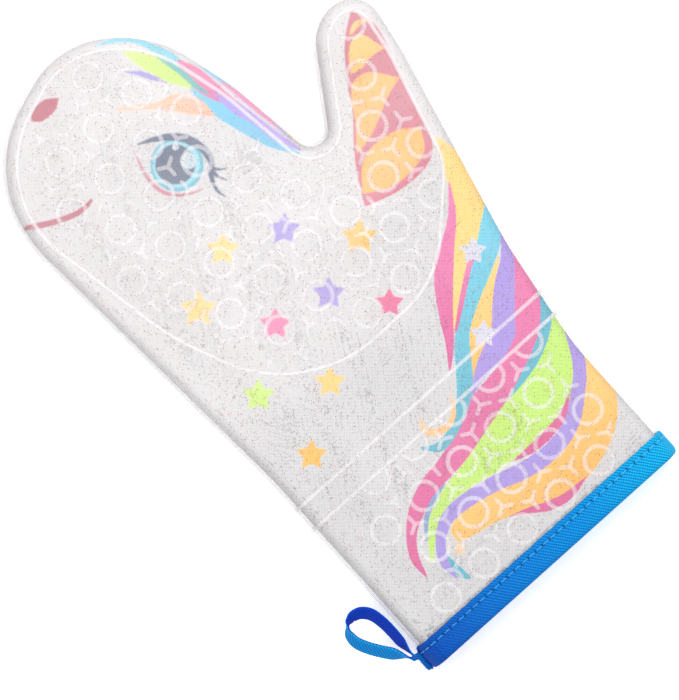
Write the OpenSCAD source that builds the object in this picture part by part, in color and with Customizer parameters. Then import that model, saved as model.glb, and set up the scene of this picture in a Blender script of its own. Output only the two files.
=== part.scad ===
// Silicone oven mitt with a quilted liner, a taped cuff and a hanging loop.
// The mitt lies on its back: +Z is out of its front face, +Y runs from the cuff to the
// fingertips, +X is on the thumb's side. The origin is the middle of the cuff's edge on the
// plane that the mitt lies on.

/* [Sleeve] */
// Length from the cuff's edge to the fingertips
mitt_length = 330; // [270:1:400]
// Width of the cuff's silicone
cuff_width = 150; // [130:1:180]
// Depth of the silicone sleeve, front to back
sleeve_depth = 28; // [24:0.5:36]
// Wall of the silicone
silicone_wall = 1.6; // [1:0.1:2.4]
// How far the rounded rim reaches in from the outline
rim_reach = 6.5; // [5:0.5:6.5]

/* [Liner] */
// Thickness of the printed fabric
print_cloth = 0.6; // [0.4:0.1:0.9]
// Thickness of the wadding
wadding = 2.4; // [1.5:0.1:3.5]
// Thickness of the cotton lining
lining_cloth = 0.6; // [0.4:0.1:0.9]
// Gap between two layers round the rim
layer_gap = 0.1; // [0.05:0.05:0.2]

/* [Treads] */
// Outer diameter of a ring tread
ring_diameter = 15.4; // [12:0.1:18]
// Width of a tread's rib
rib_width = 2; // [1.4:0.1:2.4]
// Height of the ring and Y treads
tread_height = 1; // [0.6:0.1:1.2]
// Distance between ring centres along a row
ring_pitch = 23.8; // [20:0.1:28]
// Length of one arm of a Y tread
arm_length = 5.6; // [4:0.1:6.5]
// Height of the bead and the wrist lines, and thickness of the tape: the mitt lies on all three
bead_height = 1.2; // [1.2:0.1:2]
// Distance from the outline to the middle of the bead
bead_inset = 7.5; // [7.5:0.1:12]
// Distance from the cuff's edge to the lower wrist line
wrist_line_y = 86; // [80:1:96]
// Distance between the two wrist lines
wrist_line_gap = 12; // [9:0.5:16]

/* [Binding] */
// Width of the cuff tape that shows
tape_width = 13; // [10:0.5:15]
// Distance from the cuff's edge to the stitch row
stitch_row_y = 9.8; // [8:0.1:9.9]
// Length of one stitch
stitch_length = 3.2; // [2.4:0.1:4]
// Distance from one stitch to the next
stitch_pitch = 4.4; // [4.2:0.1:5]

/* [Hanging loop] */
// Width of the loop's folded tape
loop_tape = 8; // [6:0.5:10]
// Thickness of the loop's folded tape
loop_thickness = 2; // [1.4:0.1:2.4]
// Length of the loop from its sewn ends
loop_length = 36; // [28:1:44]
// Width of the loop at its round end
loop_width = 17; // [14:0.5:20]

/* [Hidden] */

$fn = 48;

// Colours
milky = [0.86, 0.86, 0.85];
azure = [0.07, 0.55, 0.88];
pale_blue = [0.55, 0.8, 0.95];
cotton = [0.93, 0.92, 0.88];

// The outline is drawn for a mitt 330 long with a cuff 150 wide, and stretched to the sizes above.
drawn_length = 330;
drawn_width = 150;
cuff_half = cuff_width / 2;
tape_thickness = bead_height;
rest_to_middle = bead_height + sleeve_depth / 2;
cloth_start = tape_thickness;

// Corners of the outline as [x, y, corner radius], from the cuff's left end over the
// fingertips, down between fingers and thumb, and round the thumb to the cuff's right end
OUTLINE = [[-75, 0, 0], [-75, 116, 400], [-85, 268, 50], [-80, 313, 58], [-13, 336, 45],
  [25, 310, 62], [37, 265, 92], [43, 220, 6.5], [52, 219, 5], [81, 263, 24], [113, 264, 16],
  [107, 226, 60], [83, 125, 200], [75, 70, 150], [75, 0, 0]];
// The bead follows these corners of the outline, and then crosses below the palm from the
// thumb's side to the left
BEAD_FIRST = 2;
BEAD_LAST = 11;
BEAD_CROSSING = [[85, 173, 25], [46, 134, 50], [-8, 133, 60], [-44, 151, 60], [-64, 196, 120]];

// ---- Plane geometry ----
function unit(v) = v / norm(v);
function heading(v) = atan2(v[1], v[0]);
function inward(angle) = [sin(angle), -cos(angle)];
function turn_of(a, b, c) = cross(b - a, c - b);
function flat(p) = [p[0], p[1]];

// A drawn corner at the model's own size: widths follow the cuff and lengths the mitt
across = cuff_width / drawn_width;
along = mitt_length / drawn_length;
function stretched(corner) = [corner[0] * across, corner[1] * along, corner[2] * min(across, along)];

// Stations round one corner of a clockwise path: each is [point, unit vector into the shape]
function corner_stations(a, b, c, r) =
  let (from_a = unit(b - a), to_c = unit(c - b),
    start_angle = heading(from_a),
    turn = atan2(cross(from_a, to_c), from_a * to_c),
    side = turn < 0 ? 1 : -1,
    tangent = r * tan(abs(turn) / 2),
    centre = b - from_a * tangent + side * r * inward(start_angle),
    steps = max(1, ceil(abs(turn) / 11)))
  [for (k = [0 : steps]) let (n = inward(start_angle + turn * k / steps))
    [centre - side * r * n, n]];

// Stations along an open path of corners, its two ends included
function path_stations(corners) =
  let (last = len(corners) - 1, p = [for (c = corners) flat(c)])
  concat([[p[0], inward(heading(p[1] - p[0]))]],
    [for (i = [1 : last - 1]) each corner_stations(p[i - 1], p[i], p[i + 1], corners[i][2])],
    [[p[last], inward(heading(p[last] - p[last - 1]))]]);

// Stations round a closed path of corners
function loop_stations(corners) = let (n = len(corners), p = [for (c = corners) flat(c)])
  [for (i = [0 : n - 1]) each corner_stations(p[(i + n - 1) % n], p[i], p[(i + 1) % n], corners[i][2])];

// A corner of a path moved inwards by d, with its radius
function inset_corner(corners, i, d) =
  let (b = flat(corners[i]), before = b - flat(corners[i - 1]), after = flat(corners[i + 1]) - b,
    n = inward(heading(before)), m = inward(heading(after)),
    moved = b + d * (n + m) / (1 + n * m), side = cross(before, after) < 0 ? 1 : -1)
  [moved[0], moved[1], corners[i][2] - side * d];

function inset(stations, d) = [for (s = stations) s[0] + d * s[1]];

// Ears cut one by one from a clockwise polygon, as triples of point numbers
function in_corner(p, a, b, c) = turn_of(a, b, p) <= 0 && turn_of(b, c, p) <= 0 && turn_of(c, a, p) <= 0;
function is_ear(pts, ids, k) =
  let (n = len(ids), before = ids[(k + n - 1) % n], after = ids[(k + 1) % n],
    a = pts[before], b = pts[ids[k]], c = pts[after])
  turn_of(a, b, c) < 0 &&
  len([for (m = ids) if (m != before && m != ids[k] && m != after && in_corner(pts[m], a, b, c)) m]) == 0;
function first_ear(pts, ids, k = 0) = is_ear(pts, ids, k) ? k : first_ear(pts, ids, k + 1);
function ears(pts, ids, cut = []) =
  len(ids) == 3 ? concat(cut, [ids]) :
  let (n = len(ids), k = first_ear(pts, ids))
  ears(pts, [for (m = [0 : n - 1]) if (m != k) ids[m]],
    concat(cut, [[ids[(k + n - 1) % n], ids[k], ids[(k + 1) % n]]]));

// How far a point lies inside a clockwise polygon, negative outside
function to_edge(p, a, b) = let (t = max(0, min(1, (p - a) * (b - a) / ((b - a) * (b - a))))) norm(p - a - t * (b - a));
function crossings(p, poly) = let (n = len(poly))
  len([for (i = [0 : n - 1]) let (a = poly[i], b = poly[(i + 1) % n])
    if ((a[1] > p[1]) != (b[1] > p[1]) && p[0] < a[0] + (b[0] - a[0]) * (p[1] - a[1]) / (b[1] - a[1])) i]);
function depth_inside(p, poly) = let (n = len(poly),
    near = min([for (i = [0 : n - 1]) to_edge(p, poly[i], poly[(i + 1) % n])]))
  crossings(p, poly) % 2 == 1 ? near : -near;

// ---- Layers of the sleeve ----
outline_corners = [for (c = OUTLINE) stretched(c)];
sleeve_stations = path_stations(outline_corners);

least_rim = 0.5;
// A surface of the sleeve is [inset at the rim's middle, half of its depth, reach of its rim].
function surface_at(depth, gap = 0) =
  [depth + gap, sleeve_depth / 2 - depth, max(least_rim, rim_reach - depth - gap)];
skin = surface_at(0);
skin_inside = surface_at(silicone_wall);
print_outside = surface_at(silicone_wall, layer_gap);
print_inside = surface_at(silicone_wall + print_cloth, layer_gap);
wadding_outside = surface_at(silicone_wall + print_cloth, 2 * layer_gap);
wadding_inside = surface_at(silicone_wall + print_cloth + wadding, 2 * layer_gap);
lining_outside = surface_at(silicone_wall + print_cloth + wadding, 3 * layer_gap);
layers = silicone_wall + print_cloth + wadding + lining_cloth;
lining_inside = surface_at(layers, 3 * layer_gap);

RIM_STEPS = 8;
// The rim is a quarter ellipse from the front's flat to the middle and another to the back's.
function rim_inset(surface, angle) = surface[0] + surface[2] * (1 - cos(angle));
function rim_height(surface, angle) = rest_to_middle + surface[1] * sin(angle);

// Points of one surface: a row round the outline for each angle of the rim, cut square at the cuff
function surface_points(surface, angles) =
  [for (angle = angles) for (s = sleeve_stations)
    let (p = s[0] + rim_inset(surface, angle) * s[1])
    [p[0], max(p[1], cloth_start), rim_height(surface, angle)]];

// Two triangles over four corners given clockwise as seen from outside
function two_triangles(a, b, c, d) = [[a, b, c], [a, c, d]];

// A closed wall between two surfaces of the sleeve: all of it, or its front half down to the
// seam in the middle of the rim
module sleeve_wall(outside, inside, half) {
  rows = half ? RIM_STEPS / 2 : RIM_STEPS;
  angles = [for (j = [0 : rows]) 90 - j * 180 / RIM_STEPS];
  n = len(sleeve_stations);
  size = n * (rows + 1);
  ring = [for (i = [0 : n - 1]) i];
  function at(j, i) = j * n + i;
  function cap(surface) = ears(inset(sleeve_stations, rim_inset(surface, 90)), ring);
  function caps(surface) = half ? cap(surface)
    : concat(cap(surface), [for (t = cap(surface)) [for (k = [2 : -1 : 0]) at(rows, t[k])]]);
  // The cuff's edge runs up the right rim, over the front and down the left one
  over_front = concat([for (j = [rows : -1 : 0]) at(j, n - 1)], [for (j = [0 : rows]) at(j, 0)]);
  cuff_edge = half ? over_front : concat(over_front, [over_front[0]]);
  seam = half ? [for (i = [0 : n - 2]) [at(rows, i + 1), at(rows, i)]] : [];
  rims = [for (j = [0 : rows - 1]) for (i = [0 : n - 2])
    [at(j, i), at(j, i + 1), at(j + 1, i + 1), at(j + 1, i)]];
  faces = concat(
    [for (q = rims) each two_triangles(q[3], q[2], q[1], q[0])],
    caps(outside),
    [for (q = rims) each two_triangles(size + q[0], size + q[1], size + q[2], size + q[3])],
    [for (t = caps(inside)) [size + t[2], size + t[1], size + t[0]]],
    [for (k = [0 : len(cuff_edge) - 2])
      each two_triangles(cuff_edge[k + 1], size + cuff_edge[k + 1], size + cuff_edge[k], cuff_edge[k])],
    [for (e = seam) each two_triangles(e[0], e[1], size + e[1], size + e[0])]);
  polyhedron(concat(surface_points(outside, angles), surface_points(inside, angles)), faces);
}

// What is on the front, on the back as well
module mirror_to_back() { translate([0, 0, 2 * rest_to_middle]) mirror([0, 0, 1]) children(); }

module silicone_shell() { color(milky) sleeve_wall(skin, skin_inside, false); }
module printed_fabric() { color(cotton) sleeve_wall(print_outside, print_inside, true); }
module wadding_panel() { color("white") sleeve_wall(wadding_outside, wadding_inside, true); }
module lining_panel() { color(cotton) sleeve_wall(lining_outside, lining_inside, true); }

// ---- Ribs and treads, moulded on the flats of the sleeve ----
front_flat = rest_to_middle + sleeve_depth / 2;
bead_corners = concat(
  [for (i = [BEAD_FIRST : BEAD_LAST]) inset_corner(outline_corners, i, bead_inset)],
  [for (c = BEAD_CROSSING) stretched(c)]);
bead_stations = loop_stations(bead_corners);
palm_field = inset(bead_stations, rib_width / 2);

module palm_bead() {
  color(milky) translate([0, 0, front_flat]) linear_extrude(bead_height) difference() {
    polygon(inset(bead_stations, -rib_width / 2));
    polygon(palm_field);
  }
}

// A wrist line is a rib right round the sleeve. Each of its rows lies in a plane across the mitt.
function x_between(a, b, y) = a[0] + (b[0] - a[0]) * (y - a[1]) / (b[1] - a[1]);
function left_x(pts, y, i = 0) = pts[i + 1][1] >= y ? x_between(pts[i], pts[i + 1], y) : left_x(pts, y, i + 1);
function right_x(pts, y, i) = pts[i - 1][1] >= y ? x_between(pts[i], pts[i - 1], y) : right_x(pts, y, i - 1);
rim_angles = [for (j = [0 : RIM_STEPS]) 90 - j * 180 / RIM_STEPS];
function row_round(surface, y) = concat(
  [for (a = rim_angles) let (p = inset(sleeve_stations, rim_inset(surface, a)))
    [right_x(p, y, len(p) - 1), y, rim_height(surface, a)]],
  [for (j = [RIM_STEPS : -1 : 0]) let (a = rim_angles[j], p = inset(sleeve_stations, rim_inset(surface, a)))
    [left_x(p, y), y, rim_height(surface, a)]]);

module wrist_line(y) {
  raised = surface_at(-bead_height);
  low = y - rib_width / 2;
  high = y + rib_width / 2;
  rows = [row_round(skin, low), row_round(raised, low), row_round(raised, high), row_round(skin, high)];
  n = len(rows[0]);
  color(milky) polyhedron([for (row = rows) each row],
    [for (k = [0 : 3]) for (i = [0 : n - 1]) let (here = k * n, next = (k + 1) % 4 * n, j = (i + 1) % n)
      each two_triangles(here + i, here + j, next + j, next + i)]);
}
upper_wrist_y = wrist_line_y + wrist_line_gap;

// Rows of rings: every other row is shifted by half a pitch. A ring is [x, y].
row_share = 0.882; // distance between two rows, as a share of the pitch along a row
row_pitch = ring_pitch * row_share;
function lattice(x0, y0, rows, columns) =
  [for (r = rows) for (c = columns) [x0 + (c + (r % 2 == 0 ? 0 : 0.5)) * ring_pitch, y0 + r * row_pitch]];
ring_radius = ring_diameter / 2;

PALM_START = [11.5, 144.5]; // the ring that the palm's rows are counted from
palm_lattice = lattice(PALM_START[0] * across, PALM_START[1] * along, [0 : 9], [-5 : 4]);
palm_ring_places = [for (p = palm_lattice) if (depth_inside(p, palm_field) > rib_width) p];

cuff_top = wrist_line_y - rib_width / 2;
tread_gap = 0.5;
CUFF_ENDS = [-62, 70]; // left and right ends of the cuff's treads
CUFF_START_X = -2; // the ring that the cuff's rows are counted from
cuff_left = CUFF_ENDS[0] * across;
cuff_right = CUFF_ENDS[1] * across;
cuff_field = [[cuff_left, tape_width + tread_gap], [cuff_left, cuff_top], [cuff_right, cuff_top],
  [cuff_right, tape_width + tread_gap]];
cuff_lattice = lattice(CUFF_START_X * across, tape_width + tread_gap + ring_radius + tread_gap, [0 : 3], [-2 : 2]);
cuff_ring_places = [for (p = cuff_lattice) if (depth_inside(p, cuff_field) > 0) p];

module ring_tread() {
  difference() {
    cylinder(h = tread_height, r = ring_radius);
    translate([0, 0, -1]) cylinder(h = tread_height + 2, r = ring_radius - rib_width);
  }
}

// Whole rings stay as they are, and the field's edge cuts the ones that cross it
module rings(places, field) {
  color(milky) translate([0, 0, front_flat]) for (p = places)
    if (depth_inside(p, field) >= ring_radius) translate([p[0], p[1], 0]) ring_tread();
    else intersection() {
      translate([p[0], p[1], 0]) ring_tread();
      linear_extrude(tread_height) polygon(field);
    }
}

// A Y stands between each three neighbouring rings, its arms towards the gaps between them
arm_half = rib_width / 2;
// An arm's round end, as [distance back from its tip, distance to the side], in half widths
ARM_END = [[1, -1], [0.3, -0.7], [0, 0], [0.3, 0.7], [1, 1]];
function arm(angle) = let (u = [cos(angle), sin(angle)], v = [-sin(angle), cos(angle)])
  [for (p = ARM_END) u * (arm_length - arm_half * p[0]) + v * p[1] * arm_half];
armpit = arm_half / sin(60);
function y_outline(turned) = [for (k = [0 : 2]) let (a = turned + 120 * k)
  each concat(arm(a), [armpit * [cos(a + 60), sin(a + 60)]])];

// Of the two triangles that stand on a ring and the next one in its row, one points up
function y_places(places) = [for (p = places) for (up = [1, -1])
  [p[0] + ring_pitch / 2, p[1] + up * row_pitch / 3, up > 0 ? -90 : 90]];
function clear_of(p, field) = depth_inside([p[0], p[1]], field) > arm_length;

module y_treads(places, field) {
  color(milky) translate([0, 0, front_flat]) for (p = y_places(places)) if (clear_of(p, field))
    translate([p[0], p[1], 0]) linear_extrude(tread_height) polygon(y_outline(p[2]));
}

module palm_rings() { rings(palm_ring_places, palm_field); }
module palm_y_treads() { y_treads(palm_lattice, palm_field); }
module cuff_rings() { rings(cuff_ring_places, cuff_field); }
module cuff_y_treads() { y_treads(cuff_lattice, cuff_field); }

// ---- Cuff ----
// A slice of the sleeve's section between two distances from the cuff's edge
module cuff_slice(surface, from_y, to_y) {
  side = [for (a = rim_angles) [cuff_half - rim_inset(surface, a), rim_height(surface, a)]];
  translate([0, to_y, 0]) rotate([90, 0, 0]) linear_extrude(to_y - from_y)
    polygon(concat(side, [for (j = [RIM_STEPS : -1 : 0]) [-side[j][0], side[j][1]]]));
}
tape_outside = surface_at(-tape_thickness);
tape_inside = surface_at(layers + tape_thickness, 3 * layer_gap);
thread = 0.8;
thread_depth = 0.3;
row_half = cuff_half - rim_reach - 2; // the stitches stay on the flat
tape_front = 2 * rest_to_middle;

module stitch_channel() {
  translate([-row_half, stitch_row_y - thread / 2, tape_front - thread_depth])
    cube([2 * row_half, thread, thread_depth + 1]);
}

// The tape is folded over the cuff's edge and holds all layers in its fold
module cuff_binding() {
  color(azure) difference() {
    cuff_slice(tape_outside, 0, tape_width);
    cuff_slice(tape_inside, -1, tape_width + 1);
    difference() {
      cuff_slice(skin, cloth_start, tape_width + 1);
      cuff_slice(lining_inside, 0, tape_width + 2);
    }
    stitch_channel();
    mirror_to_back() stitch_channel();
  }
}

module binding_stitches() {
  count = floor((2 * row_half - stitch_length) / stitch_pitch) + 1;
  first_x = -((count - 1) * stitch_pitch + stitch_length) / 2;
  color(pale_blue) for (i = [0 : count - 1])
    translate([first_x + i * stitch_pitch, stitch_row_y - thread / 2, tape_front - thread_depth])
      cube([stitch_length, thread, thread_depth]);
}

// ---- Hanging loop ----
// Its ends are sewn to the binding at the cuff's left corner, in a tab with a round fold that
// the loop swings about.
tab_thickness = 2.4;
tab_face = -(cuff_half + tape_thickness + tab_thickness);
tab_start = 1; // clear of the cuff's edge
tab_buried = 1; // how far the tab goes into the tape before it is cut to the tape's face
fold_radius = 1.5;
fold_offset = 1;
swing_gap = 0.3;
loop_root = [tab_face - fold_offset, 10];
loop_direction = 108;
tack_height = 0.3;
tack_bar = 0.8;
tack_pitch = 1.6;
tack_start = 2.6;
tack_share = 0.7; // a bar's length as a share of the loop tape's width

module loop_tab() {
  color(azure) translate([0, 0, rest_to_middle - loop_tape / 2]) difference() {
    union() {
      translate([tab_face, tab_start, 0]) cube([tab_thickness + tab_buried, loop_root[1], loop_tape]);
      translate([loop_root[0], loop_root[1], 0]) cylinder(h = loop_tape, r = fold_radius);
    }
    translate([0, 0, loop_tape / 2 - rest_to_middle]) cuff_slice(tape_outside, -1, tape_width + 1);
  }
}

// Three bars of close stitches across the tab
module loop_bar_tack() {
  color(pale_blue) for (k = [0 : 2])
    translate([tab_face - tack_height, tack_start + tack_pitch * k, rest_to_middle - loop_tape * tack_share / 2])
      cube([tack_height, tack_bar, loop_tape * tack_share]);
}

// A round end with two straight sides that meet at the root, drawn along +X
module teardrop(end_at, radius, tip_at) {
  half_angle = asin(radius / (end_at - tip_at));
  touch = [end_at - radius * sin(half_angle), radius * cos(half_angle)];
  union() {
    translate([end_at, 0]) circle(r = radius);
    polygon([[tip_at, 0], [touch[0], -touch[1]], [end_at, 0], touch]);
  }
}

module hang_loop() {
  middle_radius = (loop_width - loop_thickness) / 2;
  end_at = loop_length - loop_width / 2;
  tip_shift = end_at * loop_thickness / 2 / middle_radius;
  color(azure) translate([loop_root[0], loop_root[1], rest_to_middle - loop_tape / 2])
    rotate([0, 0, loop_direction]) difference() {
      linear_extrude(loop_tape) teardrop(end_at, middle_radius + loop_thickness / 2, -tip_shift);
      translate([0, 0, -1]) linear_extrude(loop_tape + 2)
        teardrop(end_at, middle_radius - loop_thickness / 2, tip_shift);
      translate([0, 0, -1]) cylinder(h = loop_tape + 2, r = fold_radius + swing_gap);
      translate([-10, -10, -1]) cube([10 + fold_radius / 2, 20, loop_tape + 2]);
    }
}

silicone_shell();
wrist_line(upper_wrist_y);  // upper_wrist_line
wrist_line(wrist_line_y);  // lower_wrist_line
palm_bead();  // palm_bead_front
palm_rings();  // palm_rings_front
palm_y_treads();  // palm_y_treads_front
cuff_rings();  // cuff_rings_front
cuff_y_treads();  // cuff_y_treads_front
mirror_to_back() palm_bead();  // palm_bead_back
mirror_to_back() palm_rings();  // palm_rings_back
mirror_to_back() palm_y_treads();  // palm_y_treads_back
mirror_to_back() cuff_rings();  // cuff_rings_back
mirror_to_back() cuff_y_treads();  // cuff_y_treads_back
printed_fabric();  // printed_fabric_front
mirror_to_back() printed_fabric();  // printed_fabric_back
wadding_panel();  // wadding_front
mirror_to_back() wadding_panel();  // wadding_back
lining_panel();  // lining_front
mirror_to_back() lining_panel();  // lining_back
cuff_binding();
binding_stitches();  // binding_stitches_front
mirror_to_back() binding_stitches();  // binding_stitches_back
loop_tab();
loop_bar_tack();
hang_loop();
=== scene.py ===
"""The finish of a silicone oven mitt: a milky shell with ring and Y treads over a printed,
padded liner, with a taped cuff and a hanging loop.

Lengths are in millimetres until a mesh is made. The mitt lies on its back: +Z is out of its
front, +Y runs from the cuff to the fingertips, and the thumb is on the side of +X."""
import math

import bpy
import numpy as np
from mathutils import Matrix
from mathutils.geometry import delaunay_2d_cdt


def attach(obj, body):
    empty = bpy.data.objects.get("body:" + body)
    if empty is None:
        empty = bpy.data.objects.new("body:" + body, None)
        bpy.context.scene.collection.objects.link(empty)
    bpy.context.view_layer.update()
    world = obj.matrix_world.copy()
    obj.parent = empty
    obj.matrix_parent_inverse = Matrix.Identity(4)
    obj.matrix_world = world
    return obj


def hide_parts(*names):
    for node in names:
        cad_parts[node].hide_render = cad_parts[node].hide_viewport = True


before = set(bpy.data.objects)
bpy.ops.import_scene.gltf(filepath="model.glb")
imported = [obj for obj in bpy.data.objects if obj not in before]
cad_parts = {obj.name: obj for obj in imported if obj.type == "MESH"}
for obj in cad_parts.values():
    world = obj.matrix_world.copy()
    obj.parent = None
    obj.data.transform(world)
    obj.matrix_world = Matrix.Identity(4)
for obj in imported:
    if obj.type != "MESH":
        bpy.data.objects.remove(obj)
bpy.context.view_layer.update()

MM = 0.001

# ---- Sizes, the same as the part's ----
SLEEVE_DEPTH, SILICONE_WALL, RIM_REACH = 28, 1.6, 6.5
PRINT_CLOTH, WADDING, LINING_CLOTH, LAYER_GAP = 0.6, 2.4, 0.6, 0.1
RING_DIAMETER, RIB_WIDTH, TREAD_HEIGHT = 15.4, 2, 1
RING_PITCH, ROW_PITCH, ARM_LENGTH = 23.8, 23.8 * 0.882, 5.6
BEAD_HEIGHT, BEAD_INSET = 1.2, 7.5
WRIST_LINES = {"lower_wrist_line": 86, "upper_wrist_line": 98}
CUFF_HALF, TAPE_THICKNESS = 75, 1.2
STITCH_ROW_Y, STITCH_LENGTH, STITCH_PITCH = 9.8, 3.2, 4.4
LOOP_ROOT, LOOP_DIRECTION, LOOP_TAPE = (-79.6, 10.0), 108, 8
MIDDLE = BEAD_HEIGHT + SLEEVE_DEPTH / 2  # height of the seam between front and back
FLAT = MIDDLE + SLEEVE_DEPTH / 2  # height of the front's flat
CLOTH_START = TAPE_THICKNESS
ROOT_DEPTH = 0.4  # how far a rib reaches into the silicone under it
WEAVE_TURN = math.radians(41.9)  # the cloth was cut with its weft on the slant
# Dye of the blue tape, from its deepest to its brightest
DYE = [(0, "#0634C4"), (0.14, "#0648B0"), (0.4, "#067CD2"), (0.7, "#0498E0"), (1, "#10C0F0")]

# Colours of the glitter flakes
GLITTER = [(0, "#A0444A"), (0.25, "#6A4C4E"), (0.45, "#B4703C"), (0.6, "#7C5E92"),
           (0.75, "#C8687E"), (0.9, "#55705A")]

# Corners [x, y, radius] of the outline, from the cuff's left end over the fingertips, between
# fingers and thumb, and round the thumb to the cuff's right end
OUTLINE = [[-75, 0, 0], [-75, 116, 400], [-85, 268, 50], [-80, 313, 58], [-13, 336, 45],
           [25, 310, 62], [37, 265, 92], [43, 220, 6.5], [52, 219, 5], [81, 263, 24], [113, 264, 16],
           [107, 226, 60], [83, 125, 200], [75, 70, 150], [75, 0, 0]]
BEAD_CORNERS = slice(2, 12)  # the corners that the bead follows
BEAD_CROSSING = [[85, 173, 25], [46, 134, 50], [-8, 133, 60], [-44, 151, 60], [-64, 196, 120]]


# How much of the cloth each raised piece veils
VEIL = {"palm_bead": 0.34, "palm_rings": 0.24, "palm_y_treads": 0.24, "cuff_rings": 0.24,
        "cuff_y_treads": 0.24, "lower_wrist_line": 0.3, "upper_wrist_line": 0.3}


# ---- Paths in the plane ----
def unit(v):
    return v / np.linalg.norm(v, axis=-1, keepdims=True)


def inward(angle):
    """The unit vector at a right angle to the right of a heading."""
    return np.stack([np.sin(angle), -np.cos(angle)], -1)


def rounded(corners, closed=False):
    """A path whose corners are arcs: the arc's centre stands one radius to the inner side of the
    two straights it touches. Gives the points, and at each a unit vector into the shape."""
    c = np.asarray(corners, float)
    xy, count = c[:, :2], len(c)
    points, normals = [], []
    for i in range(count):
        if not closed and i in (0, count - 1):
            step = xy[1] - xy[0] if i == 0 else xy[-1] - xy[-2]
            points.append(xy[i:i + 1])
            normals.append(inward(np.array([math.atan2(step[1], step[0])])))
            continue
        before, after = unit(xy[i] - xy[i - 1]), unit(xy[(i + 1) % count] - xy[i])
        start = math.atan2(before[1], before[0])
        turn = math.atan2(before[0] * after[1] - before[1] * after[0], before @ after)
        side, radius = (1 if turn < 0 else -1), c[i, 2]
        centre = xy[i] - before * radius * math.tan(abs(turn) / 2) + side * radius * inward(start)
        n = inward(start + turn * np.linspace(0, 1, 2 + int(abs(turn) / math.radians(2))))
        points.append(centre - side * radius * n)
        normals.append(n)
    if closed:
        points.append(points[0][:1])
        normals.append(normals[0][:1])
    return np.concatenate(points), np.concatenate(normals)


def spaced(points, pitch, *others):
    """Points about one pitch apart: each value is read off at even steps of the length run."""
    run = np.concatenate([[0], np.cumsum(np.linalg.norm(np.diff(points, axis=0), axis=1))])
    at = np.linspace(0, run[-1], 1 + max(2, round(run[-1] / pitch)))
    out = [np.stack([np.interp(at, run, v) for v in a.T], 1) for a in (points, *others)]
    return out if others else out[0]


def curve(points, steps=8, closed=False):
    """A Catmull-Rom curve through the points: each span is the cubic whose ends lean along the
    chord of their two neighbours."""
    p = np.asarray(points, float)
    if closed:
        p = np.concatenate([p[-1:], p, p[:2]])
    else:
        p = np.concatenate([2 * p[:1] - p[1:2], p, 2 * p[-1:] - p[-2:-1]])
    a, b, c, d = (p[i:len(p) - 3 + i, None] for i in range(4))
    t = np.linspace(0, 1, steps, endpoint=False)[:, None]
    square, cube = 2 * a - 5 * b + 4 * c - d, 3 * b - a - 3 * c + d
    spans = 0.5 * (2 * b + (c - a) * t + square * t**2 + cube * t**3)
    out = spans.reshape(-1, p.shape[1])
    return out if closed else np.concatenate([out, p[-2:-1]])


def to_edges(xy, path):
    """Distance of each point from the nearest stretch of an open path."""
    a, step = path[:-1], np.diff(path, axis=0)
    out = []
    for part in np.array_split(xy, 1 + len(xy) * len(a) // 2000000):
        away = part[:, None] - a
        t = np.clip((away * step).sum(-1) / np.maximum((step**2).sum(-1), 1e-9), 0, 1)
        out.append(np.sqrt(((away - t[..., None] * step) ** 2).sum(-1).min(1)))
    return np.concatenate(out)


def depth_inside(xy, shape):
    """How far each point is inside a closed shape, negative outside: a point is inside if a ray
    from it along X crosses the edge an odd number of times."""
    path = np.concatenate([shape, shape[:1]])
    a, b = path[:-1], path[1:]
    out = []
    for part in np.array_split(xy, 1 + len(xy) * len(a) // 2000000):
        x, y = part[:, :1], part[:, 1:]
        rise = np.where(a[:, 1] == b[:, 1], 1, b[:, 1] - a[:, 1])
        crossing = a[:, 0] + (b[:, 0] - a[:, 0]) * (y - a[:, 1]) / rise
        hit = ((a[:, 1] > y) != (b[:, 1] > y)) & (x < crossing)
        out.append(hit.sum(1) % 2 == 1)
    return np.where(np.concatenate(out), 1, -1) * to_edges(xy, path)


def smooth(t):
    """Rises from 0 to 1 with level ends: three times t squared less twice t cubed."""
    t = np.clip(t, 0, 1)
    return t * t * (3 - 2 * t)


# ---- The sleeve's shape ----
OUTLINE_POINTS, OUTLINE_IN = rounded(OUTLINE)
EDGE, EDGE_IN = spaced(OUTLINE_POINTS, 2.5, OUTLINE_IN)
RIM_STEPS = 8  # steps of the rim from the seam to the flat


def swell(xy):
    """Height that the padding lifts the front above its flat: a low dome that starts at the rim,
    with shallow waves in it. It dies out towards the tape."""
    x, y = xy[..., 0], xy[..., 1]
    inside = to_edges(xy.reshape(-1, 2), EDGE).reshape(x.shape)
    waves = 0.5 * np.sin(x / 12 + y / 37) * np.sin(y / 19 - x / 41)
    waves = waves + 0.25 * np.sin(x / 7.1 - y / 15.3)
    return smooth((inside - RIM_REACH) / 34) * smooth((y - 15) / 30) * (2.2 + waves)


def layer(depth, gap=0.0):
    """One surface of the sleeve: inset where the rim is widest, half depth, and rim's reach."""
    return depth + gap, SLEEVE_DEPTH / 2 - depth, max(0.5, RIM_REACH - depth - gap)


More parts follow.
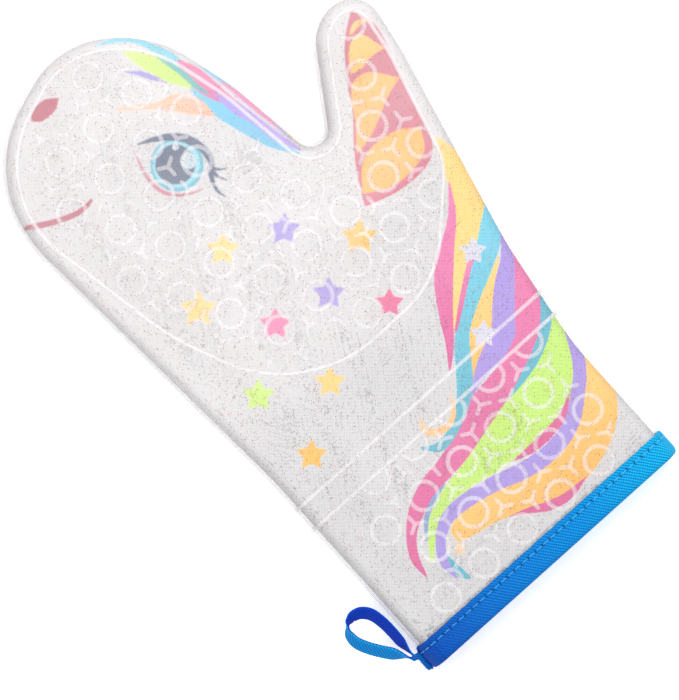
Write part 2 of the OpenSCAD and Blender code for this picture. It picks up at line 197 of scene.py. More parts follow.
def fill_in(border, pitch, extra=None):
    """Triangles over the flat: the border, the line along the cuff, and an even grid of points
    inside, joined so that no triangle is thinner than it must be."""
    right, left = border[-1], border[0]
    line = np.linspace(right, left, 2 + int((right[0] - left[0]) / pitch))[1:-1]
    shape = np.concatenate([border, line])
    lo, hi = shape.min(0), shape.max(0)
    x, y = np.meshgrid(np.arange(lo[0], hi[0], pitch), np.arange(lo[1], hi[1], pitch * 0.87))
    x[1::2] += pitch / 2
    grid = np.stack([x.ravel(), y.ravel()], 1)
    if extra is not None:
        finer = extra[0]
        grid = np.concatenate([grid[~extra[1](grid)], finer[extra[1](finer)]])
    grid = grid[depth_inside(grid, shape) > 0.35 * pitch]
    points = np.concatenate([shape, grid])
    ring = np.arange(len(shape))[::-1]
    result = delaunay_2d_cdt(points.tolist(), [], [ring.tolist()], 1, 1e-5, True)
    origin = np.array([o[0] for o in result[3]])
    faces = origin[np.array([f for f in result[2] if len(f) == 3])]
    a, b, c = (points[faces[:, i]] for i in range(3))
    area = (b - a)[:, 0] * (c - a)[:, 1] - (b - a)[:, 1] * (c - a)[:, 0]
    # the triangles cover the points' hull, and only those within the shape are wanted
    kept = (np.abs(area) > 1e-3) & (depth_inside((a + b + c) / 3, shape) > 0)
    return points, np.where(area[kept, None] > 0, faces[kept], faces[kept, ::-1]), len(line)


def at_cuff(points):
    """Points that would lie under the tape's fold are moved up to the cloth's cut edge."""
    out = points.copy()
    out[..., 1] = np.maximum(out[..., 1], CLOTH_START)
    return out


BORDER = at_cuff(EDGE + RIM_REACH * EDGE_IN)
PLAN, PLAN_FACES, LINE = fill_in(BORDER, 3.0)


def sleeve_skin(surface, angles, plan, sides, uneven, swollen):
    """Points of one surface: a row round the outline for each angle of the rim, where the rim is
    a quarter of an ellipse, and then the flats' own points, front first."""
    inset, half_depth, reach = surface
    a = np.radians(angles)[:, None]
    row = EDGE[None] + (inset + reach * (1 - np.cos(a)))[..., None] * EDGE_IN[None]
    z = np.broadcast_to(MIDDLE + half_depth * np.sin(a), row.shape[:2])
    parts = [np.concatenate([at_cuff(row), z[..., None]], -1).reshape(-1, 3)]
    own = plan[len(EDGE):]
    for side in sides:
        lift = swell(own) if side > 0 and swollen else 0
        ripple = uneven * np.sin(own[:, 0] / 5 + own[:, 1] / 9) * np.sin(own[:, 1] / 6.5)
        z = MIDDLE + side * half_depth + lift + ripple
        parts.append(np.column_stack([own, z]))
    return np.concatenate(parts)


def sleeve(outside, inside, front_only, plan=PLAN, fill=PLAN_FACES, line=LINE, uneven=(0, 0),
           swollen=True):
    """A closed wall between two surfaces of the sleeve, open at the cuff. front_only stops at the
    seam in the middle of the rim."""
    angles = np.linspace(90, 0 if front_only else -90, 1 + RIM_STEPS * (1 if front_only else 2))
    sides = (1,) if front_only else (1, -1)
    n, rows, own = len(EDGE), len(angles), len(plan) - len(EDGE)
    points = np.concatenate([sleeve_skin(surface, angles, plan, sides, ripple, swollen)
                             for surface, ripple in zip((outside, inside), uneven)])
    size = len(points) // 2

    def at(j, i):
        return j * n + i

    j, i = np.meshgrid(np.arange(rows - 1), np.arange(n - 1), indexing="ij")
    rims = np.stack([at(j, i), at(j, i + 1), at(j + 1, i + 1), at(j + 1, i)], -1).reshape(-1, 4)
    quads = [rims, size + rims[:, ::-1]]
    front = np.where(fill < n, fill, rows * n + fill - n)
    triangles = [front, size + front[:, ::-1]]
    j = np.arange(rows)
    over = np.concatenate([at(j[::-1], n - 1), rows * n + np.arange(line), at(j, 0)])
    if front_only:
        k = np.arange(n - 1)
        low = at(rows - 1, k)
        quads.append(np.stack([low, low + 1, size + low + 1, size + low], 1))
    else:
        back = np.where(fill < n, at(rows - 1, fill), rows * n + own + fill - n)
        triangles += [back[:, ::-1], size + back]
        over = np.concatenate([over, rows * n + own + np.arange(line)[::-1], over[:1]])
    quads.append(np.stack([over[1:], size + over[1:], size + over[:-1], over[:-1]], 1))
    return points, [np.concatenate(quads), np.concatenate(triangles)]


def turned_to_back(points, faces):
    """The same piece on the other side of the seam: heights are mirrored about the middle, and
    each face is read backwards so that it still faces out."""
    out = points.copy()
    out[..., 2] = 2 * MIDDLE - out[..., 2]
    return out, [f[..., ::-1] for f in faces]


# ---- Making pieces ----
def colour(code):
    """An sRGB hex code as linear red, green, blue and alpha."""
    c = np.array([int(code[i:i + 2], 16) for i in (1, 3, 5)]) / 255
    return (*np.where(c <= 0.04045, c / 12.92, ((c + 0.055) / 1.055) ** 2.4), 1.0)


def piece(name, points, faces, material, replaces, body="mitt"):
    """A mesh object made from points in millimetres and groups of faces of one size each."""
    mesh = bpy.data.meshes.new(name)
    flat = points.reshape(-1, 3)
    groups = [np.asarray(g).reshape(-1, np.asarray(g).shape[-1]) for g in faces]
    sizes = np.concatenate([np.full(len(g), g.shape[1]) for g in groups])
    corners = np.concatenate([g.ravel() for g in groups])
    mesh.vertices.add(len(flat))
    mesh.vertices.foreach_set("co", (flat * MM).astype(np.float32).ravel())
    mesh.loops.add(len(corners))
    mesh.loops.foreach_set("vertex_index", corners.astype(np.int32))
    mesh.polygons.add(len(sizes))
    starts = np.concatenate([[0], np.cumsum(sizes)[:-1]])
    mesh.polygons.foreach_set("loop_start", starts.astype(np.int32))
    mesh.polygons.foreach_set("use_smooth", np.ones(len(sizes), bool))
    mesh.update(calc_edges=True)
    mesh.validate()
    mesh.materials.append(material)
    obj = bpy.data.objects.new(name, mesh)
    bpy.context.scene.collection.objects.link(obj)
    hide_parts(*replaces)
    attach(obj, body)
    return obj


def paint(obj, name, values):
    """Keeps a number or a colour for each point of a piece, for its material to read."""
    values = np.asarray(values, np.float32)
    kind, key = ("FLOAT", "value") if values.ndim == 1 else ("FLOAT_COLOR", "color")
    obj.data.attributes.new(name, kind, "POINT").data.foreach_set(key, values.ravel())


def unroll(obj, uv):
    """Writes a UV map in millimetres, given for each point, so that a weave follows the cloth."""
    corner = np.empty(len(obj.data.loops), np.int32)
    obj.data.loops.foreach_get("vertex_index", corner)
    layer_of_uv = obj.data.uv_layers.new(name="cloth")
    layer_of_uv.data.foreach_set("uv", uv[corner].astype(np.float32).ravel())


def node(tree, kind, inputs=None, out=None, **settings):
    """Adds a node with its settings and links, and gives the node, or one of its outputs. An input
    is a number, a colour or another node's output."""
    made = tree.nodes.new("ShaderNode" + kind)
    for key, value in settings.items():
        setattr(made, key, value)
    for key, value in (inputs or {}).items():
        if isinstance(value, bpy.types.NodeSocket):
            tree.links.new(value, made.inputs[key])
        else:
            made.inputs[key].default_value = value
    return made if out is None else made.outputs[out]


def finish_of(name, **constants):
    """A new material with a Principled shader whose constants are set, its tree and the shader."""
    material = bpy.data.materials.new(name)
    material.use_nodes = True
    shader = material.node_tree.nodes["Principled BSDF"]
    for key, value in constants.items():
        shader.inputs[key.replace("_", " ")].default_value = value
    return material, material.node_tree, shader


def set_ramp(ramp, stops, steps=False):
    """Gives a colour ramp its [place, colour] stops."""
    ramp.color_ramp.interpolation = "CONSTANT" if steps else "LINEAR"
    spots = ramp.color_ramp.elements
    for k, (place, code) in enumerate(stops):
        spot = spots[k] if k < 2 else spots.new(place)
        spot.position, spot.color = place, colour(code)
    return ramp.outputs["Color"]


# ---- Materials ----
def wave_scale(period):
    """The Wave texture's scale for one wave in each period: it draws 20 radians a unit."""
    return 2 * math.pi / (20 * period)


def moulded_silicone():
    """Silicone rubber, injection moulded with glitter in it: milky and half clear, with a soft
    gloss. How much of the cloth one surface of it veils is kept in each point as 'veil'."""
    material, tree, shader = finish_of("moulded_glitter_silicone", Roughness=0.36, IOR=1.43)
    where = node(tree, "TexCoord", out="Object")
    cloud = node(tree, "TexNoise", {"Vector": where, "Scale": 45.0, "Detail": 3.0}, "Fac")
    milk = node(tree, "Mix", {"Factor": cloud, 6: colour("#E6E4E5"), 7: colour("#F4F2F4")}, 2,
                data_type="RGBA")
    # A flake is a spot at the middle of a cell 1.1 mm wide, and three cells in ten hold one. Real
    # flakes are 0.1 to 0.2 mm: these are about 0.5 mm, so that they show.
    cells = node(tree, "TexVoronoi", {"Vector": where, "Scale": 1 / (1.1 * MM)})
    near = node(tree, "Math", {0: cells.outputs["Distance"], 1: 0.22}, 0, operation="LESS_THAN")
    tint = node(tree, "SeparateColor", {"Color": cells.outputs["Color"]})
    chosen = node(tree, "Math", {0: tint.outputs["Red"], 1: 0.3}, 0, operation="LESS_THAN")
    flake = node(tree, "Math", {0: near, 1: chosen}, 0, operation="MULTIPLY")
    glitter = set_ramp(node(tree, "ValToRGB", {"Fac": tint.outputs["Green"]}), GLITTER, steps=True)
    speckled = node(tree, "Mix", {"Factor": flake, 6: milk, 7: glitter}, 2, data_type="RGBA")
    tree.links.new(speckled, shader.inputs["Base Color"])
    veil = node(tree, "Attribute", out="Fac", attribute_name="veil")
    uneven = node(tree, "Math", {0: cloud, 1: 0.6, 2: 0.7}, 0, operation="MULTIPLY_ADD")
    clouded = node(tree, "Math", {0: veil, 1: uneven}, 0, operation="MULTIPLY")
    solid = node(tree, "Math", {0: flake, 1: 0.9}, 0, operation="MULTIPLY")
    cover = node(tree, "Math", {0: clouded, 1: solid}, 0, operation="MAXIMUM")
    tree.links.new(cover, shader.inputs["Alpha"])
    fine = node(tree, "TexNoise", {"Vector": where, "Scale": 900.0, "Detail": 2.0}, "Fac")
    bump = node(tree, "Bump", {"Height": fine, "Strength": 0.1, "Distance": 0.2 * MM}, "Normal")
    tree.links.new(bump, shader.inputs["Normal"])
    return material


def printed_cotton(screens):
    """Plain-woven cotton, screen printed. Each screen keeps, in each point of the cloth, its ink
    and how far the point is inside the inked shape, and the ink's edge is where that is nought.
    'close' tells where the silicone lies on the cloth: there the weave and the ink look crisp,
    and the cloth's tone is painted darker as shade. The hollows between threads are painted dark
    as shade too, more so where 'close' is high. Threads are 0.3 mm: these are 1.6 and 1.3 mm
    apart, so that they show."""
    material, tree, shader = finish_of("screen_printed_cotton", Roughness=0.85,
                                       Specular_IOR_Level=0.2)
    where = node(tree, "TexCoord", out="Object")
    turned = node(tree, "Mapping", {"Vector": where, "Rotation": (0, 0, WEAVE_TURN)}, "Vector")
    wavy = {"Vector": turned, "Distortion": 0.5, "Detail": 1.0}
    weft = node(tree, "TexWave", wavy | {"Scale": wave_scale(1.6 * MM)}, "Fac", bands_direction="Y")
    warp = node(tree, "TexWave", wavy | {"Scale": wave_scale(1.3 * MM)}, "Fac", bands_direction="X")
    threads = node(tree, "Math", {0: weft, 1: warp}, 0, operation="MULTIPLY")
    close = node(tree, "Attribute", out="Fac", attribute_name="close")
    cloud = node(tree, "TexNoise", {"Vector": where, "Scale": 22.0, "Detail": 2.0}, "Fac")
    # painted shade: where 'close' is high the cloth takes the darker tones, over the wrist and the mane
    thick = node(tree, "Mix", {"Factor": cloud, 6: colour("#D5D2D2"), 7: colour("#E0DDDD")}, 2,
                 data_type="RGBA")
    thin = node(tree, "Mix", {"Factor": cloud, 6: colour("#CFCECE"), 7: colour("#DDDCDC")}, 2,
                data_type="RGBA")
    tone = node(tree, "Mix", {"Factor": close, 6: thick, 7: thin}, 2, data_type="RGBA")
    bleed = node(tree, "MapRange", {"Value": close, "To Min": 0.6, "To Max": 0.22}, "Result")
    outside = node(tree, "Math", {0: bleed, 1: -1.0}, 0, operation="MULTIPLY")
    ragged = node(tree, "TexNoise", {"Vector": where, "Scale": 1400.0, "Detail": 1.0}, "Fac")
    stray = node(tree, "Math", {0: ragged, 1: 0.7, 2: -0.35}, 0, operation="MULTIPLY_ADD")
    for k in range(screens):
        inside = node(tree, "Attribute", out="Fac", attribute_name=f"screen_{k}")
        ink = node(tree, "Attribute", out="Color", attribute_name=f"ink_{k}")
        edge = node(tree, "Math", {0: inside, 1: stray}, 0, operation="ADD")
        inked = node(tree, "MapRange", {"Value": edge, "From Min": outside, "From Max": bleed},
                     "Result", interpolation_type="SMOOTHSTEP")
        tone = node(tree, "Mix", {"Factor": inked, 6: tone, 7: ink}, 2, data_type="RGBA")
    # painted shade: the hollows between threads are darkened towards #4A4444, more where 'close' is high
    contrast = node(tree, "MapRange", {"Value": close, "To Min": 0.03, "To Max": 0.15}, "Result")
    hollow = node(tree, "Math", {0: threads, 1: -1.0, 2: 1.0}, 0, operation="MULTIPLY_ADD")
    weave_hollow_shade = node(tree, "Math", {0: hollow, 1: contrast}, 0, operation="MULTIPLY")
    tone = node(tree, "Mix", {"Factor": weave_hollow_shade, 6: tone, 7: colour("#4A4444")}, 2, data_type="RGBA")
    tree.links.new(tone, shader.inputs["Base Color"])
    bump = node(tree, "Bump", {"Height": threads, "Strength": 0.25, "Distance": 0.2 * MM}, "Normal")
    tree.links.new(bump, shader.inputs["Normal"])
    return material


def lining_cotton():
    """Unbleached plain-woven cotton with slubs: threads catch the light on top and are darker
    between. Its threads are drawn 1.2 mm apart."""
    material, tree, shader = finish_of("woven_lining_cotton", Roughness=0.9,
                                       Specular_IOR_Level=0.2)
    where = node(tree, "TexCoord", out="Object")
    wavy = {"Vector": where, "Scale": wave_scale(1.2 * MM), "Distortion": 0.5}
    warp = node(tree, "TexWave", wavy, "Fac", bands_direction="X")
    weft = node(tree, "TexWave", wavy, "Fac", bands_direction="Y")
    threads = node(tree, "Math", {0: warp, 1: weft}, 0, operation="MULTIPLY")
    slub = node(tree, "TexNoise", {"Vector": where, "Scale": 160.0, "Detail": 3.0}, "Fac")
    lit = node(tree, "Math", {0: threads, 1: 0.5}, 0, operation="MULTIPLY")
    lit = node(tree, "Math", {0: slub, 1: 0.5, 2: lit}, 0, operation="MULTIPLY_ADD")
    tone = node(tree, "Mix", {"Factor": lit, 6: colour("#CFCBC0"), 7: colour("#F1EFE8")}, 2, data_type="RGBA")
    tree.links.new(tone, shader.inputs["Base Color"])
    bump = node(tree, "Bump", {"Height": threads, "Strength": 0.5, "Distance": 0.3 * MM}, "Normal")
    tree.links.new(bump, shader.inputs["Normal"])
    return material


def fibre_wadding():
    """Carded polyester wadding: matt white fluff with thin and thick places."""
    material, tree, shader = finish_of("carded_polyester_wadding", Roughness=0.95,
                                       Specular_IOR_Level=0.1)
    where = node(tree, "TexCoord", out="Object")
    fluff = node(tree, "TexNoise", {"Vector": where, "Scale": 600.0, "Detail": 5.0, "Roughness": 0.7},
                 "Fac")
    tone = node(tree, "Mix", {"Factor": fluff, 6: colour("#D6D4D0"), 7: colour("#FAFAF8")}, 2,
                data_type="RGBA")
    tree.links.new(tone, shader.inputs["Base Color"])
    bump = node(tree, "Bump", {"Height": fluff, "Strength": 0.7, "Distance": 0.6 * MM}, "Normal")
    tree.links.new(bump, shader.inputs["Normal"])
    return material


def bias_tape():
    """Polycotton bias tape, cut on the slant. 'dye' tells how bright its blue is, and 'hole' where
    a needle went through, where the tape is painted dark as the shade in the hole. Its weave lies
    on the slant, with threads drawn 1.35 and 1.1 mm apart."""
    material, tree, shader = finish_of("woven_bias_tape", Roughness=0.8,
                                       Specular_IOR_Level=0.15)
    cloth = node(tree, "UVMap", out="UV", uv_map="cloth")
    slant = node(tree, "Mapping", {"Vector": cloth, "Rotation": (0, 0, math.radians(38))}, "Vector")
    wavy = {"Vector": slant, "Distortion": 1.2, "Detail": 2.0, "Detail Scale": 1.5}
    ribs = node(tree, "TexWave", wavy | {"Scale": wave_scale(1.35)}, "Fac", bands_direction="X")
    cross = node(tree, "TexWave", wavy | {"Scale": wave_scale(1.1)}, "Fac", bands_direction="Y")
    threads = node(tree, "Mix", {"Factor": 0.35, 2: ribs, 3: cross}, 0)
    dyed = node(tree, "Attribute", out="Fac", attribute_name="dye")
    lint = node(tree, "TexNoise", {"Vector": cloth, "Scale": 0.9, "Detail": 5.0, "Roughness": 0.65},
                "Fac")
    spread = node(tree, "Math", {0: lint, 1: 0.3, 2: -0.15}, 0, operation="MULTIPLY_ADD")
    mottled = node(tree, "Math", {0: dyed, 1: spread}, 0, operation="ADD")
    dye = set_ramp(node(tree, "ValToRGB", {"Fac": mottled}), DYE)
    lit = node(tree, "MapRange", {"Value": threads, "From Min": 0.2, "From Max": 0.75, "To Min": 0.3,
                                  "To Max": 1.0}, "Result")
    shade = node(tree, "Mix", {"Factor": lit, 6: colour("#053C92"), 7: dye}, 2, data_type="RGBA")
    # painted shade: needle holes are darkened to #05204A
    hole = node(tree, "Attribute", out="Fac", attribute_name="hole")
    tone = node(tree, "Mix", {"Factor": hole, 6: shade, 7: colour("#05204A")}, 2, data_type="RGBA")
    tree.links.new(tone, shader.inputs["Base Color"])
    bump = node(tree, "Bump", {"Height": threads, "Strength": 0.6, "Distance": 0.3 * MM}, "Normal")
    tree.links.new(bump, shader.inputs["Normal"])
    return material


def spun_thread():
    """Spun polyester thread: two plies twisted together, drawn 1 mm a turn."""
    material, tree, shader = finish_of("spun_polyester_thread", Roughness=0.6)
    where = node(tree, "TexCoord", out="Object")
    plies = node(tree, "TexWave", {"Vector": where, "Scale": wave_scale(1.0 * MM), "Distortion": 0.4}, "Fac",
                 bands_direction="DIAGONAL")
    dyed = node(tree, "Attribute", out="Fac", attribute_name="dye")
    dye = set_ramp(node(tree, "ValToRGB", {"Fac": dyed}), DYE)
    lit = node(tree, "Math", {0: plies, 1: 0.4, 2: 0.25}, 0, operation="MULTIPLY_ADD")
    tone = node(tree, "Mix", {"Factor": lit, 6: dye, 7: colour("#38B0F0")}, 2, data_type="RGBA")
    tree.links.new(tone, shader.inputs["Base Color"])
    bump = node(tree, "Bump", {"Height": plies, "Strength": 0.5, "Distance": 0.1 * MM}, "Normal")
    tree.links.new(bump, shader.inputs["Normal"])
    return material


# ---- The print: a horse's head with a horn, a striped mane and stars ----
SCREENS = 5
STAR_NOTCH = 0.52  # radius of a star's notches, as a share of its points'


def ribbon(upper, lower):
    """A shape between two smooth lines that meet, or nearly meet, at their first and last points."""
    return np.concatenate([curve(upper, 6), curve(lower[::-1], 6)])


def star(x, y, radius):
    """Five points on a circle, with notches between them at about half its radius. A star stands
    upright across the weft."""
    a = math.pi / 2 - WEAVE_TURN + np.radians(36 * np.arange(10))
    r = np.where(np.arange(10) % 2 == 0, radius, radius * STAR_NOTCH)
    return np.stack([x + r * np.cos(a), y + r * np.sin(a)], 1)


def disc(x, y, radius):
    a = np.linspace(0, 2 * math.pi, 28, endpoint=False)
    return np.stack([x + radius * np.cos(a), y + radius * np.sin(a)], 1)


def stroke(points, widths):
    """A line that swells and thins: its two sides stand half of the width off the middle."""
    line = curve(np.column_stack([points, widths]), 6)
    along = unit(np.gradient(line[:, :2], axis=0))
    off = np.stack([-along[:, 1], along[:, 0]], 1) * line[:, 2:] / 2
    return np.concatenate([line[:, :2] + off, (line[:, :2] - off)[::-1]])


PINK, MAGENTA, YELLOW, ORANGE = "#F07CB6", "#DD4C94", "#FFD676", "#FDBB45"
CYAN, TEAL, PURPLE, LIME = "#6AD2EC", "#48B4C8", "#A78FE0", "#C4EC62"
NAVY, LAKE, PEACH = "#003E6C", "#3FB4CC", "#FBC6A0"

# Each shape is its screen, its ink at the top and at the foot, and its edge. A later screen
# prints over an earlier one.
FRONT_PRINT = [
    # mane
    (1, PINK, MAGENTA, ribbon(
        [(80, 164), (70, 153), (60, 146), (50, 140), (42, 131), (35, 120), (29, 109), (22, 99)],
        [(80, 164), (72, 151), (61, 140), (50, 128.5), (40, 117.5), (33, 109), (28, 104), (22, 99)])),
    (0, YELLOW, YELLOW, ribbon(
        [(90, 184), (79, 163), (70, 150), (60, 139), (50, 128), (40, 117), (36, 113), (32, 109)],
        [(90, 184), (93, 165), (89, 149), (80, 140), (68, 134), (55, 126), (43, 117), (32, 109)])),
    (2, PINK, MAGENTA, stroke(
        [(36, 110.5), (44, 116.5), (54, 124), (62, 129.5), (68, 131)],
        [0.6, 1.6, 2, 1.8, 0.8])),
    (1, CYAN, TEAL, ribbon(
        [(90, 148), (76, 138), (67, 131), (58, 126), (49, 120), (40, 113), (31, 105), (23, 95),
         (14, 85), (4, 79), (-5, 77.5), (-12, 81)],
        [(90, 148), (82, 131), (71, 123), (60, 117.5), (50, 112.5), (40, 106), (33, 97), (26, 88),
         (17, 81), (4, 75), (-6, 74), (-12, 81)])),
    (0, YELLOW, ORANGE, ribbon(
        [(74, 123), (62, 119), (52, 114), (44, 109), (37, 102), (31, 94), (24, 87)],
        [(74, 123), (62, 113), (52, 103), (44, 98.5), (37, 95), (30, 90), (24, 87)])),
    (2, PURPLE, PURPLE, ribbon(
        [(88, 137), (76, 123), (66, 116), (57, 108), (48, 99), (39, 95.5), (31, 91), (21, 83)],
        [(88, 137), (80, 120), (72, 110), (63, 100), (55, 91), (44, 87), (32, 86), (21, 83)])),
    (0, PINK, MAGENTA, ribbon(
        [(96, 158), (80, 128), (72, 112), (62, 101), (50, 90), (38, 85), (20, 82), (6, 76),
         (-8, 71.5), (-22, 69), (-34, 64), (-44, 55), (-50, 45), (-50, 35)],
        [(96, 158), (90, 120), (79, 99), (70, 87), (58, 80), (44, 74), (30, 70.5), (15, 67),
         (0, 63.5), (-14, 62), (-28, 59), (-39, 54), (-46, 46), (-50, 35)])),
    (2, LAKE, LAKE, ribbon(
        [(86, 118), (77, 98), (68, 87), (57, 80), (46, 75.5), (34, 71)],
        [(86, 118), (79, 93), (69, 82), (57, 75.5), (46, 72.5), (34, 71)])),
    (1, LIME, LIME, ribbon(
        [(88, 108), (77, 91), (67, 81), (55, 75), (43, 72), (30, 70), (16, 66.5), (2, 63),
         (-12, 60.5), (-25, 57), (-35, 50), (-44, 38)],
        [(88, 108), (79, 80), (70, 66), (60, 55), (48, 49), (36, 48), (22, 48.5), (6, 50),
         (-8, 52.5), (-22, 53), (-34, 46), (-44, 38)])),
    (3, "#7FA0D0", "#7FA0D0", stroke(
        [(-14, 61.5), (-23, 59.5), (-32, 55), (-39, 47)],
        [0.6, 2.2, 2.4, 0.8])),
    (3, MAGENTA, MAGENTA, ribbon(
        [(58, 55), (46, 50), (34, 48.8), (24, 48.5), (15, 48)],
        [(58, 55), (48, 47), (38, 44.5), (26, 44.5), (15, 48)])),
    (2, PURPLE, PURPLE, ribbon(
        [(84, 92), (74, 76), (66, 62), (57, 53.5), (48, 47), (38, 43.8), (28, 43.5), (16, 45.5),
         (2, 49.5), (-12, 52), (-25, 51.5), (-35, 45), (-41, 35), (-40, 24)],
        [(84, 92), (78, 72), (70, 58), (60, 48), (50, 40.5), (40, 37), (28, 36), (15, 38),
         (2, 42.5), (-12, 45.5), (-24, 46), (-33, 41), (-38, 33), (-40, 24)])),
    (1, LAKE, TEAL, stroke([(-37, 36), (-37.5, 31), (-37, 26), (-35.5, 21)], [0.8, 3, 3, 0.8])),
    (0, YELLOW, ORANGE, ribbon(
        [(84, 80), (74, 64), (64, 53), (54, 44), (42, 38), (30, 36.5), (16, 38.5), (2, 43),
         (-12, 46), (-26, 44), (-28, 37)],
        [(84, 80), (78, 54), (71, 38), (60, 27.5), (46, 21.5), (32, 19.5), (18, 21.5), (4, 28),
         (-10, 33), (-20, 35), (-28, 37)])),
    (3, MAGENTA, MAGENTA, ribbon(
        [(-4, 30.5), (6, 27.5), (14, 24), (24, 21), (38, 20)],
        [(-4, 30.5), (5, 25), (14, 19), (25, 17), (38, 20)])),
    (4, "#FFD09A", "#FFC47E", stroke(
        [(-3, 92), (-5, 85.5), (-1, 81.5), (5, 80.5), (11, 84), (15, 91)],
        [0.6, 3, 3.4, 3, 2.2, 0.6])),
    (4, "#FFD9B0", "#FFD0A0", disc(-30, 34, 2.4)),
    (4, "#D9D8E6", "#D9D8E6", star(67, 133, 7)),
    (4, "#D9D8E6", "#D9D8E6", star(45, 101, 7)),
    # forelock: these points were computed, not drawn, and wait to be drawn by hand;
    # forelock: these points were worked out by another program, and wait to be drawn by hand
    (0, "#7FDCEC", "#4CC2DC", ribbon(
        [(1, 321), (14.1, 314.5), (20.2, 304), (24, 295), (26, 283.5)],
        [(1, 321), (13.2, 312.4), (18.2, 302.6), (21.4, 293.4), (24.8, 282)])),
    (1, "#D6F070", "#C2E84A", ribbon(
        [(8.2, 310.3), (14.8, 303.4), (18.2, 296), (20.6, 287.5), (21.5, 277.7)],
        [(8.2, 310.3), (8.9, 303.4), (11, 295.6), (14, 286.6), (20.5, 276.7)])),
    (2, "#4FC0B4", "#3FA8A8", stroke(
        [(17.8, 302.9), (19.5, 294.1), (21.5, 285.9), (22.6, 276.1), (24.2, 269.6)],
        [0.5, 1.6, 2.2, 2, 0.6])),
    (0, "#5CCBE8", "#3FB6E0", ribbon(
        [(20.4, 279.3), (22.8, 269.2), (27.6, 260.6), (31.6, 249.6), (33.8, 235.2), (37, 220.5)],
        [(20.4, 279.3), (19, 267), (20.8, 258), (24.6, 245), (29, 233), (37, 220.5)])),
    (1, "#EC5C9C", "#D860A8", ribbon(
        [(23.8, 291), (28.1, 282.4), (29.8, 272.9), (30.8, 262.7), (32.3, 253.6)],
        [(23.8, 291), (21.6, 280.7), (22.1, 272.8), (25.1, 265.1), (32.3, 253.6)])),
    (2, "#A98CE4", "#A98CE4", ribbon(
        [(26.4, 267.5), (31.7, 256.9), (34.3, 244.5), (36.3, 234), (39.5, 219.5)],
        [(26.4, 267.5), (27.3, 255), (30.8, 245), (32.8, 233.2), (39.5, 219.5)])),
    (2, "#6FD0F0", "#6FD0F0", stroke(
        [(30.6, 281), (33.6, 273), (36, 264), (37.4, 254)],
        [0.8, 3.6, 3.6, 0.8])),
    (3, "#F48CC2", "#F48CC2", stroke(
        [(32.4, 270), (35.4, 258), (37.2, 246), (38, 236)],
        [0.8, 3, 3, 0.8])),
    (1, "#C4B0F0", "#C4B0F0", stroke(
        [(37.4, 251), (39, 241), (40, 231), (40.8, 224)],
        [0.8, 3, 2.6, 0.8])),
    (3, "#F6EE8C", "#F6EE8C", stroke(
        [(39.6, 238), (40.6, 229.5), (42.4, 223), (46.5, 218)],
        [0.8, 2.6, 2.6, 0.8])),
    # brow, cheek, nostril and mouth: partly worked out by another program, as the forelock is
    (3, "#9C8CDC", "#9C8CDC", stroke(
        [(2.4, 302.6), (6.9, 297.7), (9.8, 292.6), (13.4, 286)],
        [0.6, 2.2, 2.4, 0.6])),
    (3, PEACH, "#FBB48E", stroke(
        [(-13, 293), (-5, 287), (3, 281), (10, 276.5), (16, 269), (19.5, 260)],
        [0.8, 2.4, 3.2, 8, 8, 0.8])),
    (3, "#B83C58", "#BE4460", ribbon(
        [(-45.5, 314.8), (-42.6, 317.6), (-38.6, 318.6), (-33.7, 318), (-28.6, 314.4)],
        [(-45.5, 314.8), (-42.4, 311.8), (-38.6, 311), (-33.4, 311.2), (-28.6, 314.4)])),
    (3, "#BE4864", "#BE4864", stroke(
        [(-82, 280.5), (-76, 277), (-68, 272.5), (-59, 269), (-53, 268.3), (-48.5, 269)],
        [1.6, 2.8, 2.8, 2.6, 2.2, 1.2])),
    # eye
    (1, LAKE, LAKE, disc(-8.5, 254.5, 12)),
    (2, "#93D8E6", "#93D8E6", disc(-8.6, 255, 10.8)),
    (3, NAVY, NAVY, disc(-9.0, 255.2, 9.3)),
    (4, "#C4D2DA", "#C4D2DA", disc(-3.2, 252.4, 3.9)),
    (4, "#C4D2DA", "#C4D2DA", disc(-3.5, 261, 1.5)),
    (3, NAVY, NAVY, stroke(
        [(-16, 273.8), (-9, 270.6), (-2, 266), (3, 260), (5.3, 252.5), (4.6, 246), (1.5, 241.5)],
        [0.7, 2.4, 3.6, 4, 3.8, 3.2, 1])),
    (4, NAVY, NAVY, stroke([(1.5, 243), (-1.2, 238), (-2.6, 233), (-1.4, 227.8)], [2.4, 2, 1.4, 0.4])),
    (4, NAVY, NAVY, stroke([(1.5, 242.5), (2, 238), (4, 233.6)], [2, 1.5, 0.4])),
    (4, NAVY, NAVY, stroke([(2, 243.5), (4.3, 240.2), (7.4, 238)], [2, 1.3, 0.4])),
    (3, "#D27A8E", "#C8647C", stroke(
        [(-18, 275), (-21.5, 265), (-23, 257), (-21.8, 249.5), (-18, 244), (-13, 240.5), (-7, 238)],
        [0.5, 1.2, 1.7, 1.9, 1.6, 1.2, 0.4])),
    # horn on the thumb
    (1, "#C8566E", "#D4647E", ribbon(
        [(44, 182), (52, 196.5), (60, 207.5), (68, 217), (76, 229.5), (84, 240.5), (91, 247.5),
         (99.5, 253.5)],
        [(44, 182), (60, 177.3), (76, 177), (86, 183), (92, 201), (98, 222), (103, 241),
         (99.5, 253.5)])),
    (2, ORANGE, "#FDB63A", ribbon(
        [(57.5, 203), (65, 204), (75, 208), (85, 213), (95, 216)],
        [(57.5, 203), (66, 213), (76, 227), (86, 227), (95, 216)])),
    (2, ORANGE, "#FDB63A", ribbon(
        [(47, 187), (56, 197), (66, 200), (78, 198), (87, 192)],
        [(47, 187), (58, 181), (70, 180), (81, 183), (87, 192)])),
    (2, "#FDC75A", ORANGE, ribbon(
        [(80, 232), (86, 231), (93, 232), (99, 231)],
        [(80, 232), (87, 241), (95, 243), (99, 231)])),
    (2, "#FDC75A", "#FDC75A", stroke([(92, 246), (97, 247.5), (102, 246)], [0.5, 2.2, 0.5])),
]
